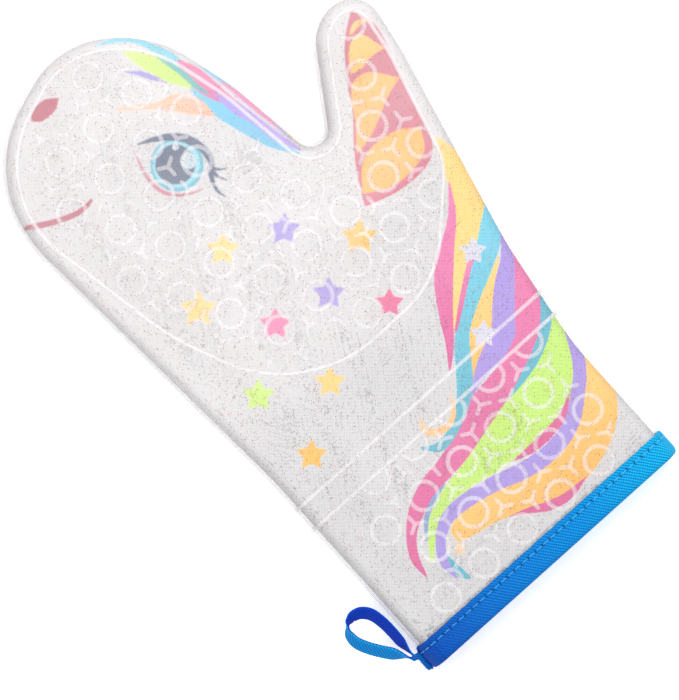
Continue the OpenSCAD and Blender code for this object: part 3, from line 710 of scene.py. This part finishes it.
FRONT_PRINT += [(3, ink, ink, star(x, y, r)) for ink, x, y, r in (
    ("#FFD978", -46, 198, 9), ("#FFD978", -19, 211, 8), ("#A48EDC", 8.5, 199, 8), ("#FFC85C", 32, 173, 9),
    ("#F06AA6", -24, 169, 8), ("#A48EDC", 4, 163, 8), ("#E8508F", 22, 141, 7.2), ("#CFF068", -52, 149.5, 8),
    ("#FFD270", -23, 132, 7.6), ("#FFC24C", -52, 112.5, 7.6))]

BACK_STARS = [(3, ink, ink, star(x, y, r)) for ink, x, y, r in (
    ("#FFD978", -50, 292, 8), ("#A48EDC", -20, 312, 7.5), ("#F06AA6", 6, 282, 8), ("#CFF068", -38, 262, 8),
    ("#FFC85C", -62, 232, 8), ("#F06AA6", -22, 236, 7.5), ("#8ADCF2", 14, 246, 8), ("#A48EDC", -46, 198, 8.5),
    ("#FFD978", 2, 208, 8), ("#CFF068", 44, 196, 8), ("#F06AA6", 84, 238, 8), ("#FFC85C", 72, 190, 8),
    ("#8ADCF2", -56, 156, 8), ("#FFC85C", -20, 168, 8), ("#A48EDC", 22, 154, 8), ("#F06AA6", 58, 142, 8),
    ("#FFD978", -42, 116, 8), ("#F06AA6", -4, 122, 7.6), ("#8ADCF2", 36, 112, 8), ("#CFF068", 62, 88, 7.6),
    ("#A48EDC", -58, 72, 8), ("#CFF068", -18, 78, 8), ("#FFC85C", 18, 66, 8), ("#F06AA6", -38, 38, 8),
    ("#8ADCF2", 4, 30, 8), ("#A48EDC", 48, 44, 8))]


def near_ink(shapes, reach):
    """Tells which points are within reach of a shape's edge, where the cloth needs finer triangles."""
    def test(xy):
        close = np.zeros(len(xy), bool)
        for _, _, _, shape in shapes:
            lo, hi = shape.min(0) - reach, shape.max(0) + reach
            here = np.flatnonzero(((xy > lo) & (xy < hi)).all(1) & ~close)
            if len(here):
                close[here] = to_edges(xy[here], np.concatenate([shape, shape[:1]])) < reach
        return close
    return test


def print_on(obj, xy, shapes):
    """Keeps each screen's ink and depth inside its shapes, in millimetres, at each point. The
    first screens print a little wide, so that no white shows between two inks."""
    margin, spread = 4.0, (0.45, 0.45, 0.3, 0, 0)
    for screen in range(SCREENS):
        depth = np.full(len(xy), -margin)
        ink = np.tile(colour("#E4E2E4"), (len(xy), 1))
        for at, top, bottom, shape in shapes:
            if at != screen:
                continue
            lo, hi = shape.min(0), shape.max(0)
            here = np.flatnonzero(((xy > lo - margin) & (xy < hi + margin)).all(1))
            d = depth_inside(xy[here], shape) + spread[screen]
            better = d > depth[here]
            here, d = here[better], d[better]
            depth[here] = d
            t = np.clip((hi[1] - xy[here, 1]) / (hi[1] - lo[1]), 0, 1)[:, None]
            ink[here] = (1 - t) * colour(top) + t * colour(bottom)
        paint(obj, f"screen_{screen}", depth)
        paint(obj, f"ink_{screen}", ink)


# ---- The moulded ribs ----
RIB = np.array([(-1.1, -ROOT_DEPTH), (-1.1, 0.6), (-0.75, 1), (0.75, 1), (1.1, 0.6), (1.1, -ROOT_DEPTH)])


def sweep(middle, across, lift, profile, closed):
    """Ribs: a profile [side, height] carried along each path. middle and across are [rib, point,
    2], lift the height of the surface under each point. Open ribs get flat ends."""
    ribs, m, q = len(middle), middle.shape[1], len(profile)
    xy = middle[:, :, None] + profile[:, :1] * across[:, :, None]
    z = np.broadcast_to((lift[..., None] + profile[:, 1])[..., None], (*xy.shape[:3], 1))
    points = np.concatenate([xy, z], -1)
    r, i, k = np.meshgrid(np.arange(ribs), np.arange(m if closed else m - 1), np.arange(q), indexing="ij")
    nxt_i, nxt_k = (i + 1) % m, (k + 1) % q

    def at(i, k):
        return (r * m + i) * q + k
    quads = np.stack([at(i, k), at(nxt_i, k), at(nxt_i, nxt_k), at(i, nxt_k)], -1).reshape(-1, 4)
    faces = [quads]
    if not closed:
        start = np.arange(ribs)[:, None] * m * q + np.arange(q)
        faces += [start, (start + (m - 1) * q)[:, ::-1]]
    return points.reshape(-1, 3), faces


def merged(parts):
    """Several point and face lists as one, with the later faces counted on."""
    points, faces, start = [], [], 0
    for p, groups in parts:
        points.append(p.reshape(-1, 3))
        faces += [g + start for g in groups]
        start += len(points[-1])
    return np.concatenate(points), faces


def ground(xy, front=True):
    """Height of the surface that a rib stands on; the back lies flat."""
    return FLAT + (swell(xy) if front else np.zeros(xy.shape[:-1]))


def wrapped(m, q, closed):
    """Quads over a grid of m by q points whose rows close on themselves, and whose columns do too
    if it is closed."""
    i, k = np.meshgrid(np.arange(m if closed else m - 1), np.arange(q), indexing="ij")
    on, next_row = (k + 1) % q, (i + 1) % m * q
    return np.stack([i * q + k, i * q + on, next_row + on, next_row + k], -1).reshape(-1, 4)


def moved_in(corners, i, d):
    """A corner moved inwards by d, along the bisector of its two sides, with its radius."""
    b = np.array(corners[i][:2], float)
    before, after = b - corners[i - 1][:2], np.array(corners[i + 1][:2]) - b
    n, m = (inward(math.atan2(v[1], v[0])) for v in (before, after))
    turn = before[0] * after[1] - before[1] * after[0]
    return [*(b + d * (n + m) / (1 + n @ m)), corners[i][2] + (d if turn > 0 else -d)]


BEAD, BEAD_IN = rounded([moved_in(OUTLINE, i, BEAD_INSET) for i in range(len(OUTLINE))[BEAD_CORNERS]]
                        + BEAD_CROSSING, closed=True)
PALM_FIELD = BEAD[:-1] + BEAD_IN[:-1] * RIB_WIDTH / 2
CUFF_FIELD = np.array([[-62, 13.5], [-62, 85], [70, 85], [70, 13.5]], float)


def lattice(x0, y0, rows, first, count):
    """Ring centres: rows one above the other, every other one shifted by half a pitch."""
    r, c = np.meshgrid(np.arange(rows), first + np.arange(count), indexing="ij")
    return np.stack([x0 + (c + (r % 2) / 2) * RING_PITCH, y0 + r * ROW_PITCH], -1).reshape(-1, 2)


PALM_LATTICE = lattice(11.5, 144.5, 10, -5, 10)
CUFF_LATTICE = lattice(-2, 21.7, 4, -2, 5)
RING_MIDDLE = (RING_DIAMETER - RIB_WIDTH) / 2


def ring_treads(places, field, least, front):
    """Rings with their centres inside the field: whole ones clear of its edge, and arcs that run
    a little way into the rib at the field's edge."""
    deep = depth_inside(places, field)
    places, deep = places[deep > least], deep[deep > least]
    a = np.linspace(0, 2 * math.pi, 32, endpoint=False)
    out = np.stack([np.cos(a), np.sin(a)], 1)
    whole = places[deep >= RING_DIAMETER / 2]
    middle = whole[:, None] + RING_MIDDLE * out
    profile = RIB * [1, TREAD_HEIGHT]
    parts = [sweep(middle, np.broadcast_to(-out, middle.shape), ground(middle, front), profile, True)]
    fine = np.linspace(0, 2 * math.pi, 240, endpoint=False)
    around = np.stack([np.cos(fine), np.sin(fine)], 1)
    arcs, sides = [], []
    for place in places[deep < RING_DIAMETER / 2]:
        kept = depth_inside(place + RING_MIDDLE * around, field) > -0.5
        starts = np.flatnonzero(kept & ~np.roll(kept, 1))
        for s in starts:
            length = int(np.argmin(np.roll(kept, -s)))
            if length < 12:
                continue
            t = fine[s] + np.linspace(0, (length - 1) * fine[1], 26)
            u = np.stack([np.cos(t), np.sin(t)], 1)
            arcs.append(place + RING_MIDDLE * u)
            sides.append(-u)
    if arcs:
        arcs = np.array(arcs)
        parts.append(sweep(arcs, np.array(sides), ground(arcs, front), profile, False))
    return merged(parts)


def y_treads(places, field, front):
    """A Y between each three rings: three arms with round ends, a vertical side, a small bevel
    and a level top."""
    spots = np.concatenate([places + [RING_PITCH / 2, up * ROW_PITCH / 3] for up in (1, -1)])
    start = np.repeat([-90.0, 90.0], len(places))
    keep = depth_inside(spots, field) > ARM_LENGTH
    spots, start = spots[keep], start[keep]
    half = RIB_WIDTH / 2
    end = np.array([(ARM_LENGTH - half, -1), (ARM_LENGTH - half * 0.3, -0.7), (ARM_LENGTH, 0),
                    (ARM_LENGTH - half * 0.3, 0.7), (ARM_LENGTH - half, 1)]) * [1, half]
    inner = end - [0.3, 0] - np.sign(end) * [0, 0.3]
    pit = half / math.sin(math.radians(60))

    def outline(arm, corner):
        a = np.radians(start[:, None] + 120 * np.arange(3))
        u, v = np.stack([np.cos(a), np.sin(a)], -1), np.stack([-np.sin(a), np.cos(a)], -1)
        ends = u[:, :, None] * arm[:, :1] + v[:, :, None] * arm[:, 1:]
        pits = corner * np.stack([np.cos(a + math.pi / 3), np.sin(a + math.pi / 3)], -1)
        return spots[:, None] + np.concatenate([ends, pits[:, :, None]], 2).reshape(len(spots), -1, 2)

    lift = ground(spots, front)[:, None]
    rows = [(outline(end, pit), -ROOT_DEPTH), (outline(end, pit), 0.68), (outline(inner, pit * 0.7), 1.0)]
    n = rows[0][0].shape[1]
    points = []
    for xy, h in rows:
        height = np.broadcast_to((lift + h * TREAD_HEIGHT)[..., None], (*xy.shape[:2], 1))
        points.append(np.concatenate([xy, height], -1))
    middle = np.column_stack([spots, lift + TREAD_HEIGHT])[:, None]
    under = np.column_stack([spots, lift - ROOT_DEPTH])[:, None]
    points = np.concatenate([*points, middle, under], 1)
    base = np.arange(len(spots))[:, None] * (3 * n + 2)
    i = np.arange(n)
    walls = [base[..., None] + np.stack([i + k, (i + 1) % n + k, (i + 1) % n + k + n, i + k + n], 1)
             for k in (0, n)]
    arm = np.arange(3)[:, None] * 6
    cap = np.concatenate([(arm - 1) % n, arm + np.arange(6)], 1)
    top = base[..., None] + np.concatenate([cap + 2 * n, np.full((3, 1), 3 * n)], 1)
    bottom = base[..., None] + np.concatenate([cap, np.full((3, 1), 3 * n + 1)], 1)[:, ::-1]
    return points, [w.reshape(-1, 4) for w in walls] + [top.reshape(-1, 8), bottom.reshape(-1, 8)]


def bead(front):
    """The bead that frames the palm: a taller rib on a closed path."""
    middle, side = spaced(BEAD, 2.0, BEAD_IN)
    middle, side = middle[None, :-1], unit(side)[None, :-1]
    crown = 1.17
    left = [(-1, -ROOT_DEPTH), (-1, 0.5), (-0.75, 0.95), (-0.3, crown)]
    profile = np.array(left + [(-across, height) for across, height in left[::-1]])
    points, faces = sweep(middle, side, ground(middle, front), profile * [1, BEAD_HEIGHT / crown], True)
    return points, [f[:, ::-1] for f in faces]


def section(depth, at=None):
    """The sleeve's section across the cuff, at one or more depths under its skin: the front's
    flat, the right rim, the back's flat and the left rim. Angles run on from 90 to -270 degrees,
    and a point stands at the flat's end plus the rim's reach times the angle's cosine."""
    x, angle = (SECTION_X, SECTION_A) if at is None else at
    side = CUFF_HALF - RIM_REACH
    return np.stack([np.clip(x, -side, side) + (RIM_REACH - depth) * np.cos(angle),
                     MIDDLE + (SLEEVE_DEPTH / 2 - depth) * np.sin(angle)], -1)


def section_stations(steps_per_stitch):
    """Even steps along the tape's outer face, as a place across and a rim angle, with a whole
    number of stitches round the cuff."""
    side = CUFF_HALF - RIM_REACH
    x = np.concatenate([[-side, side], np.full(40, side), [-side], np.full(40, -side)])
    turn = np.linspace(0, math.pi, 41)[1:]
    a = np.concatenate([[0, 0], turn, [math.pi], math.pi + turn])
    a = math.pi / 2 - a
    p = section(-TAPE_THICKNESS, (x, a))
    run = np.concatenate([[0], np.cumsum(np.linalg.norm(np.diff(p, axis=0), axis=1))])
    count = round(run[-1] / STITCH_PITCH)
    s = np.linspace(0, run[-1], count * steps_per_stitch, endpoint=False)
    return np.interp(s, run, x), np.interp(s, run, a), s, run[-1], count


SECTION_X, SECTION_A, SECTION_S, GIRTH, STITCHES = section_stations(6)


def wrist_line(y):
    """A rib right round the sleeve: at each station the profile stands out along the rim's
    normal."""
    left = np.interp(y, EDGE[:60, 1], EDGE[:60, 0]) + RIM_REACH
    right = np.interp(y, EDGE[:-60:-1, 1], EDGE[:-60:-1, 0]) - RIM_REACH
    side = CUFF_HALF - RIM_REACH
    x = left + (right - left) * (SECTION_X + side) / (2 * side)
    profile = np.array([(-1, -ROOT_DEPTH), (-1, 0.6), (-0.6, 1.15), (0.6, 1.15), (1, 0.6), (1, -ROOT_DEPTH)])
    h = profile[:, 1][None]
    px = x[:, None] + (RIM_REACH + h) * np.cos(SECTION_A)[:, None]
    pz = MIDDLE + (SLEEVE_DEPTH / 2 + h) * np.sin(SECTION_A)[:, None]
    py = y + profile[:, 0][None] + 0 * px
    xy = np.stack([px, py], -1)
    pz = pz + np.where(np.sin(SECTION_A)[:, None] > 0.999, swell(xy), 0)
    points = np.stack([px, py, pz], -1)
    m, q = points.shape[:2]
    quads = wrapped(m, q, True)
    return points.reshape(-1, 3), [quads[:, ::-1]]


# ---- Cuff ----
def binding():
    """The tape folded over the cuff's edge: a closed profile of [distance from the cuff's edge,
    depth under the skin] carried round the section. The stitch row pulls it in at each hole and
    it puffs out between."""
    inner = SILICONE_WALL + PRINT_CLOTH + WADDING + LINING_CLOTH + 0.15
    outer_leg = [(13, -0.05), (13.05, -0.7), (12.7, -1.12), (12, -1.2), (11, -1.18), (10.4, -1.05),
                 (9.8, -0.9), (9.2, -1.05), (8.4, -1.22), (7, -1.32), (5.4, -1.36), (3.8, -1.34),
                 (2.6, -1.25), (1.5, -1.02), (0.7, -0.55), (0.2, 0.15)]
    fold = [(0.02, 1.2), (0, 2.6), (0.02, 4.2), (0.2, 5.2)]
    inner_leg = [(0.7, 6.0), (1.5, 6.35), (2.8, 6.5), (5, 6.55), (7.4, 6.5), (8.6, 6.42), (9.8, 6.2),
                 (10.8, 6.4), (12, 6.45), (12.8, 6.3), (13, 5.9), (13, inner)]
    hollow = [(9, inner), (5, inner), (1.25, inner), (1.15, 3.6), (1.15, 1.6), (1.25, 0.02),
              (5, -0.02), (9, -0.02)]
    profile = np.array(outer_leg + fold + inner_leg + hollow)
    y, depth = profile[:, 0][None], profile[:, 1][None]
    phase = 2 * math.pi * (SECTION_S / GIRTH * STITCHES)[:, None]
    # between holes the tape stands proud, and small creases run off the row towards both edges
    row = np.exp(-((y - STITCH_ROW_Y) / 1.5) ** 2)
    number = np.arange(len(profile))[None]
    outside = number < len(outer_leg)
    inside = (number >= len(outer_leg) + len(fold)) & (profile[:, 1] > inner)
    puff = 0.13 * row * np.cos(phase) + 0.1 * np.exp(-((y - 11.8) / 1.4) ** 2) * np.cos(phase + 0.9)
    crease = 0.08 * np.sin(phase * 0.31 + y * 0.9) * np.sin(phase * 0.113 + 1.3) * smooth((y - 1) / 3)
    depth = depth - outside * (puff + crease) + inside * (puff + crease)
    wander = outside * (y > 12.5) * 0.12 * np.sin(phase * 0.5 + 0.7) * np.cos(phase * 0.17)
    xz = section(depth, (SECTION_X[:, None], SECTION_A[:, None]))
    points = np.stack([xz[..., 0], y + wander, xz[..., 1]], -1)
    m, q = points.shape[:2]
    quads = wrapped(m, q, True)
    step = np.linalg.norm(np.diff(profile, axis=0, append=profile[:1]), axis=1)
    run = np.concatenate([[0], np.cumsum(step)[:-1]])
    uv = np.stack(np.broadcast_arrays(SECTION_S[:, None], run[None]), -1).reshape(-1, 2)
    # painted shade: 'hole' marks where the tape is painted dark in each needle hole
    hole = np.maximum(-np.cos(phase), 0) ** 2 * np.exp(-((y - STITCH_ROW_Y) / 0.7) ** 2) * outside
    return points.reshape(-1, 3), [quads], uv, hole.ravel()


def tube(line, radius, sides=6):
    """Tubes round [tube, point, 3] lines that run mostly along X or round the cuff: a ring of
    corners stands across each point, and the ends are closed."""
    along = unit(np.gradient(line, axis=1))
    up = np.broadcast_to(np.array([0.0, 1.0, 0.0]), along.shape)
    side = unit(np.cross(along, up))
    lift = np.cross(side, along)
    a = np.linspace(0, 2 * math.pi, sides, endpoint=False)[:, None]
    r = np.asarray(radius)[..., None, None]
    ring = line[:, :, None] + r * (np.cos(a) * side[:, :, None] + np.sin(a) * lift[:, :, None])
    tubes, m = line.shape[:2]
    t, i, k = np.meshgrid(np.arange(tubes), np.arange(m - 1), np.arange(sides), indexing="ij")

    def at(i, k):
        return (t * m + i) * sides + k % sides
    quads = np.stack([at(i, k), at(i, k + 1), at(i + 1, k + 1), at(i + 1, k)], -1).reshape(-1, 4)
    first = np.arange(tubes)[:, None] * m * sides + np.arange(sides)
    return ring.reshape(-1, 3), [quads[:, ::-1], first, (first + (m - 1) * sides)[:, ::-1]]


def stitches(front):
    """Stitches along the row, each a short length of thread that dives into its hole at both
    ends. The front has those above the seam, and the back the rest."""
    t = np.linspace(-0.5, 0.5, 9)
    s = (np.arange(STITCHES)[:, None] + t * (STITCH_LENGTH + 0.7) / STITCH_PITCH) * GIRTH / STITCHES % GIRTH
    x = np.interp(s, [*SECTION_S, GIRTH], [*SECTION_X, SECTION_X[0]])
    a = np.interp(s, [*SECTION_S, GIRTH], [*SECTION_A, SECTION_A[0] - 2 * math.pi])
    depth = -1.2 + 0.85 * smooth((np.abs(t) * 2 - 0.55) / 0.45)
    xz = section(np.broadcast_to(depth, x.shape), (x, a))
    line = np.stack([xz[..., 0], STITCH_ROW_Y + 0.1 * np.sin(3 * s), xz[..., 1]], -1)
    line = line[(line[:, 4, 2] > MIDDLE) == front]
    return tube(line, 0.4 * np.ones(9) * (1 - 0.35 * (np.abs(t) * 2) ** 3))


def tab():
    """The loop's sewn end: tape folded into a tab down the cuff's corner, with a round fold at
    its top. A closed outline is carried across the tape's width and drawn in at both edges."""
    face, seat = -78.5, -76.0
    corners = [(seat, 1.2), (-77.3, 1.05), (face + 0.2, 1.3), (face - 0.05, 2.2), (face - 0.12, 4),
               (face, 6), (face - 0.1, 8), (face - 0.6, 9), (-80.75, 9.4), (-81.0, 10.3),
               (-80.5, 11.2), (-79.6, 11.45), (-78.4, 11.25), (-77.2, 11), (seat, 10.8)]
    ring = curve(corners, 4, closed=True)
    t = np.linspace(-1, 1, 15)
    full = (1 - 0.14 * np.abs(t) ** 6)[:, None, None]
    centre = np.array([-77.8, 6.2])
    xy = centre + (ring - centre) * full
    ridge = 0.1 * np.cos(t * math.pi * 2.5)[:, None] * (ring[:, 0] < -78)[None]
    z = MIDDLE + t * LOOP_TAPE / 2
    points = np.stack([xy[..., 0] - ridge, xy[..., 1], np.broadcast_to(z[:, None], xy.shape[:2])], -1)
    m, q = points.shape[:2]
    quads = wrapped(m, q, False)
    run = np.concatenate([[0], np.cumsum(np.linalg.norm(np.diff(ring, axis=0), axis=1))])
    uv = np.stack(np.broadcast_arrays(z[:, None], run[None]), -1).reshape(-1, 2)
    first = np.arange(q)
    return points.reshape(-1, 3), [quads[:, ::-1], first[None], (first + (m - 1) * q)[None, ::-1]], uv


def bar_tack():
    """Three bars of close zigzag stitches across the tab."""
    n = 15
    z = MIDDLE + np.linspace(-2.8, 2.8, n)
    line = curve(np.stack([np.zeros(n), 0.42 * (-1.0) ** np.arange(n), z], 1), 3)
    bars = np.stack([line + [-78.62, y, 0] for y in (3.0, 4.6, 6.2)])
    points, faces = tube(bars[..., [2, 0, 1]], 0.2)
    return points[:, [1, 2, 0]], faces


def ribbon_loop():
    """The hanging loop: folded tape whose middle line leaves the root, swings out to a round end
    and comes back. It leans, so that its outer face shows on the left and its inner face on the
    right, and is upright where it is sewn in."""
    half = [(0.2, 0.72), (4, 1.5), (9, 3.1), (15, 5.2), (21.5, 6.9), (27.5, 7.4), (32.2, 5.6),
            (34.6, 2.4)]
    line = np.array(half + [(35.0, 0)] + [(u, -v) for u, v in half[::-1]])
    step = 0.8
    path = spaced(curve(line, 12), step)
    tangent = unit(np.gradient(path, axis=0))
    e1 = inward(math.radians(LOOP_DIRECTION + 90))
    e2 = inward(math.radians(LOOP_DIRECTION + 180))
    grow = smooth((path[:, 0] - 1) / 10)
    middle = np.column_stack([LOOP_ROOT + path[:, :1] * e1 + path[:, 1:] * e2, np.full(len(path), MIDDLE)])
    forward = np.column_stack([tangent[:, :1] * e1 + tangent[:, 1:] * e2, np.zeros(len(path))])
    lean = np.radians(46) * grow
    out = np.append(0.9 * -e2 + 0.45 * e1, 0)
    width = np.cos(lean)[:, None] * np.array([0, 0, 1.0]) + np.sin(lean)[:, None] * out
    width = unit(width - (width * forward).sum(1, keepdims=True) * forward)
    thick = np.cross(forward, width)
    t = np.linspace(0, 2 * math.pi, 22, endpoint=False)
    # a flat oval with ridges where the folded edges are sewn together
    across = np.sign(np.cos(t)) * np.abs(np.cos(t)) ** 0.55
    through = np.sign(np.sin(t)) * np.abs(np.sin(t)) ** 0.6 * (0.86 + 0.22 * np.abs(across) ** 3)
    half_thick = 0.62 + 0.25 * smooth((path[:, 0] - 2) / 8)
    points = (middle[:, None] + across[:, None] * LOOP_TAPE / 2 * 0.97 * width[:, None]
              + through[:, None] * half_thick[:, None, None] * thick[:, None])
    m, q = points.shape[:2]
    quads = wrapped(m, q, False)
    run = step * np.arange(m)[:, None]
    uv = np.stack(np.broadcast_arrays(run, (across * LOOP_TAPE / 2)[None]), -1).reshape(-1, 2)
    first = np.arange(q)
    outer = through[None] * np.ones((m, 1)) < 0
    dye = np.where(outer, 0.62 + 0.3 * np.abs(across)[None] ** 4, 0.02)
    ends = [first[None, ::-1], (first + (m - 1) * q)[None]]
    return points.reshape(-1, 3), [quads, *ends], uv, dye.ravel()


# ---- Camera, light and floor ----
def placed(x, y, z, origin):
    """The matrix of a thing whose three axes and origin are given."""
    return Matrix([[*row, p] for row, p in zip(np.stack([x, y, z], 1), origin)] + [[0, 0, 0, 1]])


def set_the_stage():
    """The camera looks straight down on the mitt from far off, turned so that the fingers point to
    the upper left. A width of 315.8 mm at the mitt's front fills the picture."""
    right = np.array([0.7443, -0.6678, 0])
    back = np.array([0, 0, 1.0])
    up = np.cross(back, right)
    distance, width = 3.5, 0.3158
    aim = np.array([-9.8, 140.2, 22]) * MM
    lens = bpy.data.cameras.new("camera")
    lens.sensor_fit, lens.sensor_width = "HORIZONTAL", 36
    lens.lens = 36 * distance / width
    lens.clip_end = 20
    camera = bpy.data.objects.new("camera", lens)
    camera.matrix_world = placed(right, up, back, aim + distance * back)
    bpy.context.scene.collection.objects.link(camera)
    bpy.context.scene.camera = camera

    def area_light(name, at, size, power):
        lamp = bpy.data.lights.new(name, "AREA")
        lamp.shape, lamp.size, lamp.energy = "DISK", size, power
        light = bpy.data.objects.new(name, lamp)
        place = np.array(at, float)
        z = unit(place - aim)
        x = unit(np.cross([0.3, 1, 0.1], z))
        light.matrix_world = placed(x, np.cross(z, x), z, place)
        bpy.context.scene.collection.objects.link(light)

    area_light("key_light", (0.5, 0.6, 1.2), 0.9, 12)
    area_light("fill_light", (-0.3, 0.0, 1.5), 1.2, 8.5)
    world = bpy.data.worlds.new("studio")
    world.use_nodes = True
    background = world.node_tree.nodes["Background"]
    background.inputs["Color"].default_value = (1, 1, 1, 1)
    background.inputs["Strength"].default_value = 0.5
    bpy.context.scene.world = world
    bpy.context.scene.view_settings.view_transform = "Standard"

    # the card glows a little, so that it comes out white
    material, tree, shader = finish_of("matt_white_card", Roughness=0.7, Emission_Strength=0.4,
                                       Emission_Color=colour("#FFFFFF"))
    where = node(tree, "TexCoord", out="Object")
    grain = node(tree, "TexNoise", {"Vector": where, "Scale": 3.0}, "Fac")
    tone = node(tree, "Mix", {"Factor": grain, 6: colour("#F6F6F6"), 7: colour("#FCFCFC")}, 2,
                data_type="RGBA")
    tree.links.new(tone, shader.inputs["Base Color"])
    half, drop = 3, 0.0006  # the floor is below the stitches on the mitt's back
    mesh = bpy.data.meshes.new("floor")
    mesh.from_pydata([(-half, -half, -drop), (half, -half, -drop), (half, half, -drop), (-half, half, -drop)],
                     [], [(0, 1, 2, 3)])
    mesh.materials.append(material)
    floor = bpy.data.objects.new("floor", mesh)
    bpy.context.scene.collection.objects.link(floor)


# ---- Build ----
silicone = moulded_silicone()
printed = printed_cotton(SCREENS)
batting = fibre_wadding()
lining_cloth = lining_cotton()
tape = bias_tape()
thread = spun_thread()

skin, skin_inside = layer(0), layer(SILICONE_WALL)
print_outside, print_inside = (layer(SILICONE_WALL + d, LAYER_GAP) for d in (0, PRINT_CLOTH))
wadding_outside, wadding_inside = (layer(SILICONE_WALL + PRINT_CLOTH + d, 2 * LAYER_GAP)
                                   for d in (0, WADDING))
lining_outside, lining_inside = (layer(SILICONE_WALL + PRINT_CLOTH + WADDING + d, 3 * LAYER_GAP)
                                 for d in (0, LINING_CLOTH))


def contact_and_painted_shade(xy):
    """How closely the silicone lies on the cloth: all over the mane and the wrist, little in the
    palm and the fingers. Where it is high, the printed cloth is painted darker as shade."""
    y = xy[:, 1]
    low = 1 - smooth((y - 118) / 45)
    mane = smooth((xy[:, 0] - 10) / 30) * (1 - smooth((y - 165) / 25))
    return np.maximum(low, mane)


def blue_across(points):
    """The tape's dye, from deep on the loop's side to bright on the thumb's."""
    return 0.14 + 0.86 * (points[:, 0] + 76) / 152


# shell
points, faces = sleeve(skin, skin_inside, False)
shell = piece("silicone_shell_skin", points, faces, silicone, ["silicone_shell"])
rim = np.clip(1 - to_edges(points[:, :2], EDGE) / RIM_REACH, 0, 1)
on_outside = np.arange(len(points)) < len(points) // 2  # the wall's haze is all in its outer surface
paint(shell, "veil", on_outside * (0.25 - 0.12 * contact_and_painted_shade(points) + 0.3 * smooth((rim - 0.6) / 0.4)))

# printed cloth, with finer triangles along the ink's edges
cloth_pitch, fine_pitch, ink_reach = 2.2, 0.8, 1.3
fine_x, fine_y = np.meshgrid(np.arange(-90, 116, fine_pitch), np.arange(0, 336, fine_pitch))
finer = np.stack([fine_x.ravel(), fine_y.ravel()], 1)
for side, shapes in (("front", FRONT_PRINT), ("back", BACK_STARS)):
    plan, fill, line = fill_in(BORDER, cloth_pitch, (finer, near_ink(shapes, ink_reach)))
    points, faces = sleeve(print_outside, print_inside, True, plan, fill, line, swollen=side == "front")
    if side == "back":
        points, faces = turned_to_back(points, faces)
    cloth = piece(f"printed_fabric_panel_{side}", points, faces, printed, [f"printed_fabric_{side}"])
    print_on(cloth, points[:, :2], shapes)
    # 'close' also paints the cloth darker as shade, and darkens the hollows between its threads
    paint(cloth, "close", contact_and_painted_shade(points))

# wadding and lining
for side in ("front", "back"):
    for name, outside, inside, material, slot, uneven in (
            ("wadding_pad", wadding_outside, wadding_inside, batting, "wadding", (0, 0.1)),
            ("lining_panel", lining_outside, lining_inside, lining_cloth, "lining", (0, 0))):
        points, faces = sleeve(outside, inside, True, uneven=uneven, swollen=side == "front")
        if side == "back":
            points, faces = turned_to_back(points, faces)
        made = piece(f"{name}_{side}", points, faces, material, [f"{slot}_{side}"])

# treads
for side in ("front", "back"):
    top = side == "front"
    for name, made in (("palm_bead", bead(top)),
                       ("palm_rings", ring_treads(PALM_LATTICE, PALM_FIELD, RIB_WIDTH, top)),
                       ("palm_y_treads", y_treads(PALM_LATTICE, PALM_FIELD, top)),
                       ("cuff_rings", ring_treads(CUFF_LATTICE, CUFF_FIELD, 0, top)),
                       ("cuff_y_treads", y_treads(CUFF_LATTICE, CUFF_FIELD, top))):
        points, faces = made
        points = points.reshape(-1, 3)
        if not top:
            points, faces = turned_to_back(points, faces)
        made = piece(f"{name}_moulded_{side}", points, faces, silicone, [f"{name}_{side}"])
        paint(made, "veil", np.full(len(points), VEIL[name]))
        made.visible_shadow = False  # light scatters through a thin rib
for name, y in WRIST_LINES.items():
    points, faces = wrist_line(y)
    made = piece(f"{name}_moulded", points, faces, silicone, [name])
    paint(made, "veil", np.full(len(points), VEIL[name]))
    made.visible_shadow = False

# cuff
points, faces, uv, hole = binding()
cuff = piece("cuff_binding_tape", points, faces, tape, ["cuff_binding"])
unroll(cuff, uv)
paint(cuff, "dye", blue_across(points))
paint(cuff, "hole", hole)
for side in ("front", "back"):
    points, faces = stitches(side == "front")
    sewn = piece(f"binding_stitch_row_{side}", points, faces, thread, [f"binding_stitches_{side}"])
    paint(sewn, "dye", blue_across(points))
points, faces, uv = tab()
folded = piece("loop_tab_tape", points, faces, tape, ["loop_tab"])
unroll(folded, uv)
paint(folded, "dye", np.full(len(points), 0.3))
points, faces = bar_tack()
tack = piece("loop_bar_tack_thread", points, faces, thread, ["loop_bar_tack"])
paint(tack, "dye", np.full(len(points), 0.4))

# hanging loop
points, faces, uv, dye = ribbon_loop()
loop = piece("hang_loop_tape", points, faces, tape, ["hang_loop"], body="loop")
unroll(loop, uv)
paint(loop, "dye", dye)

set_the_stage()
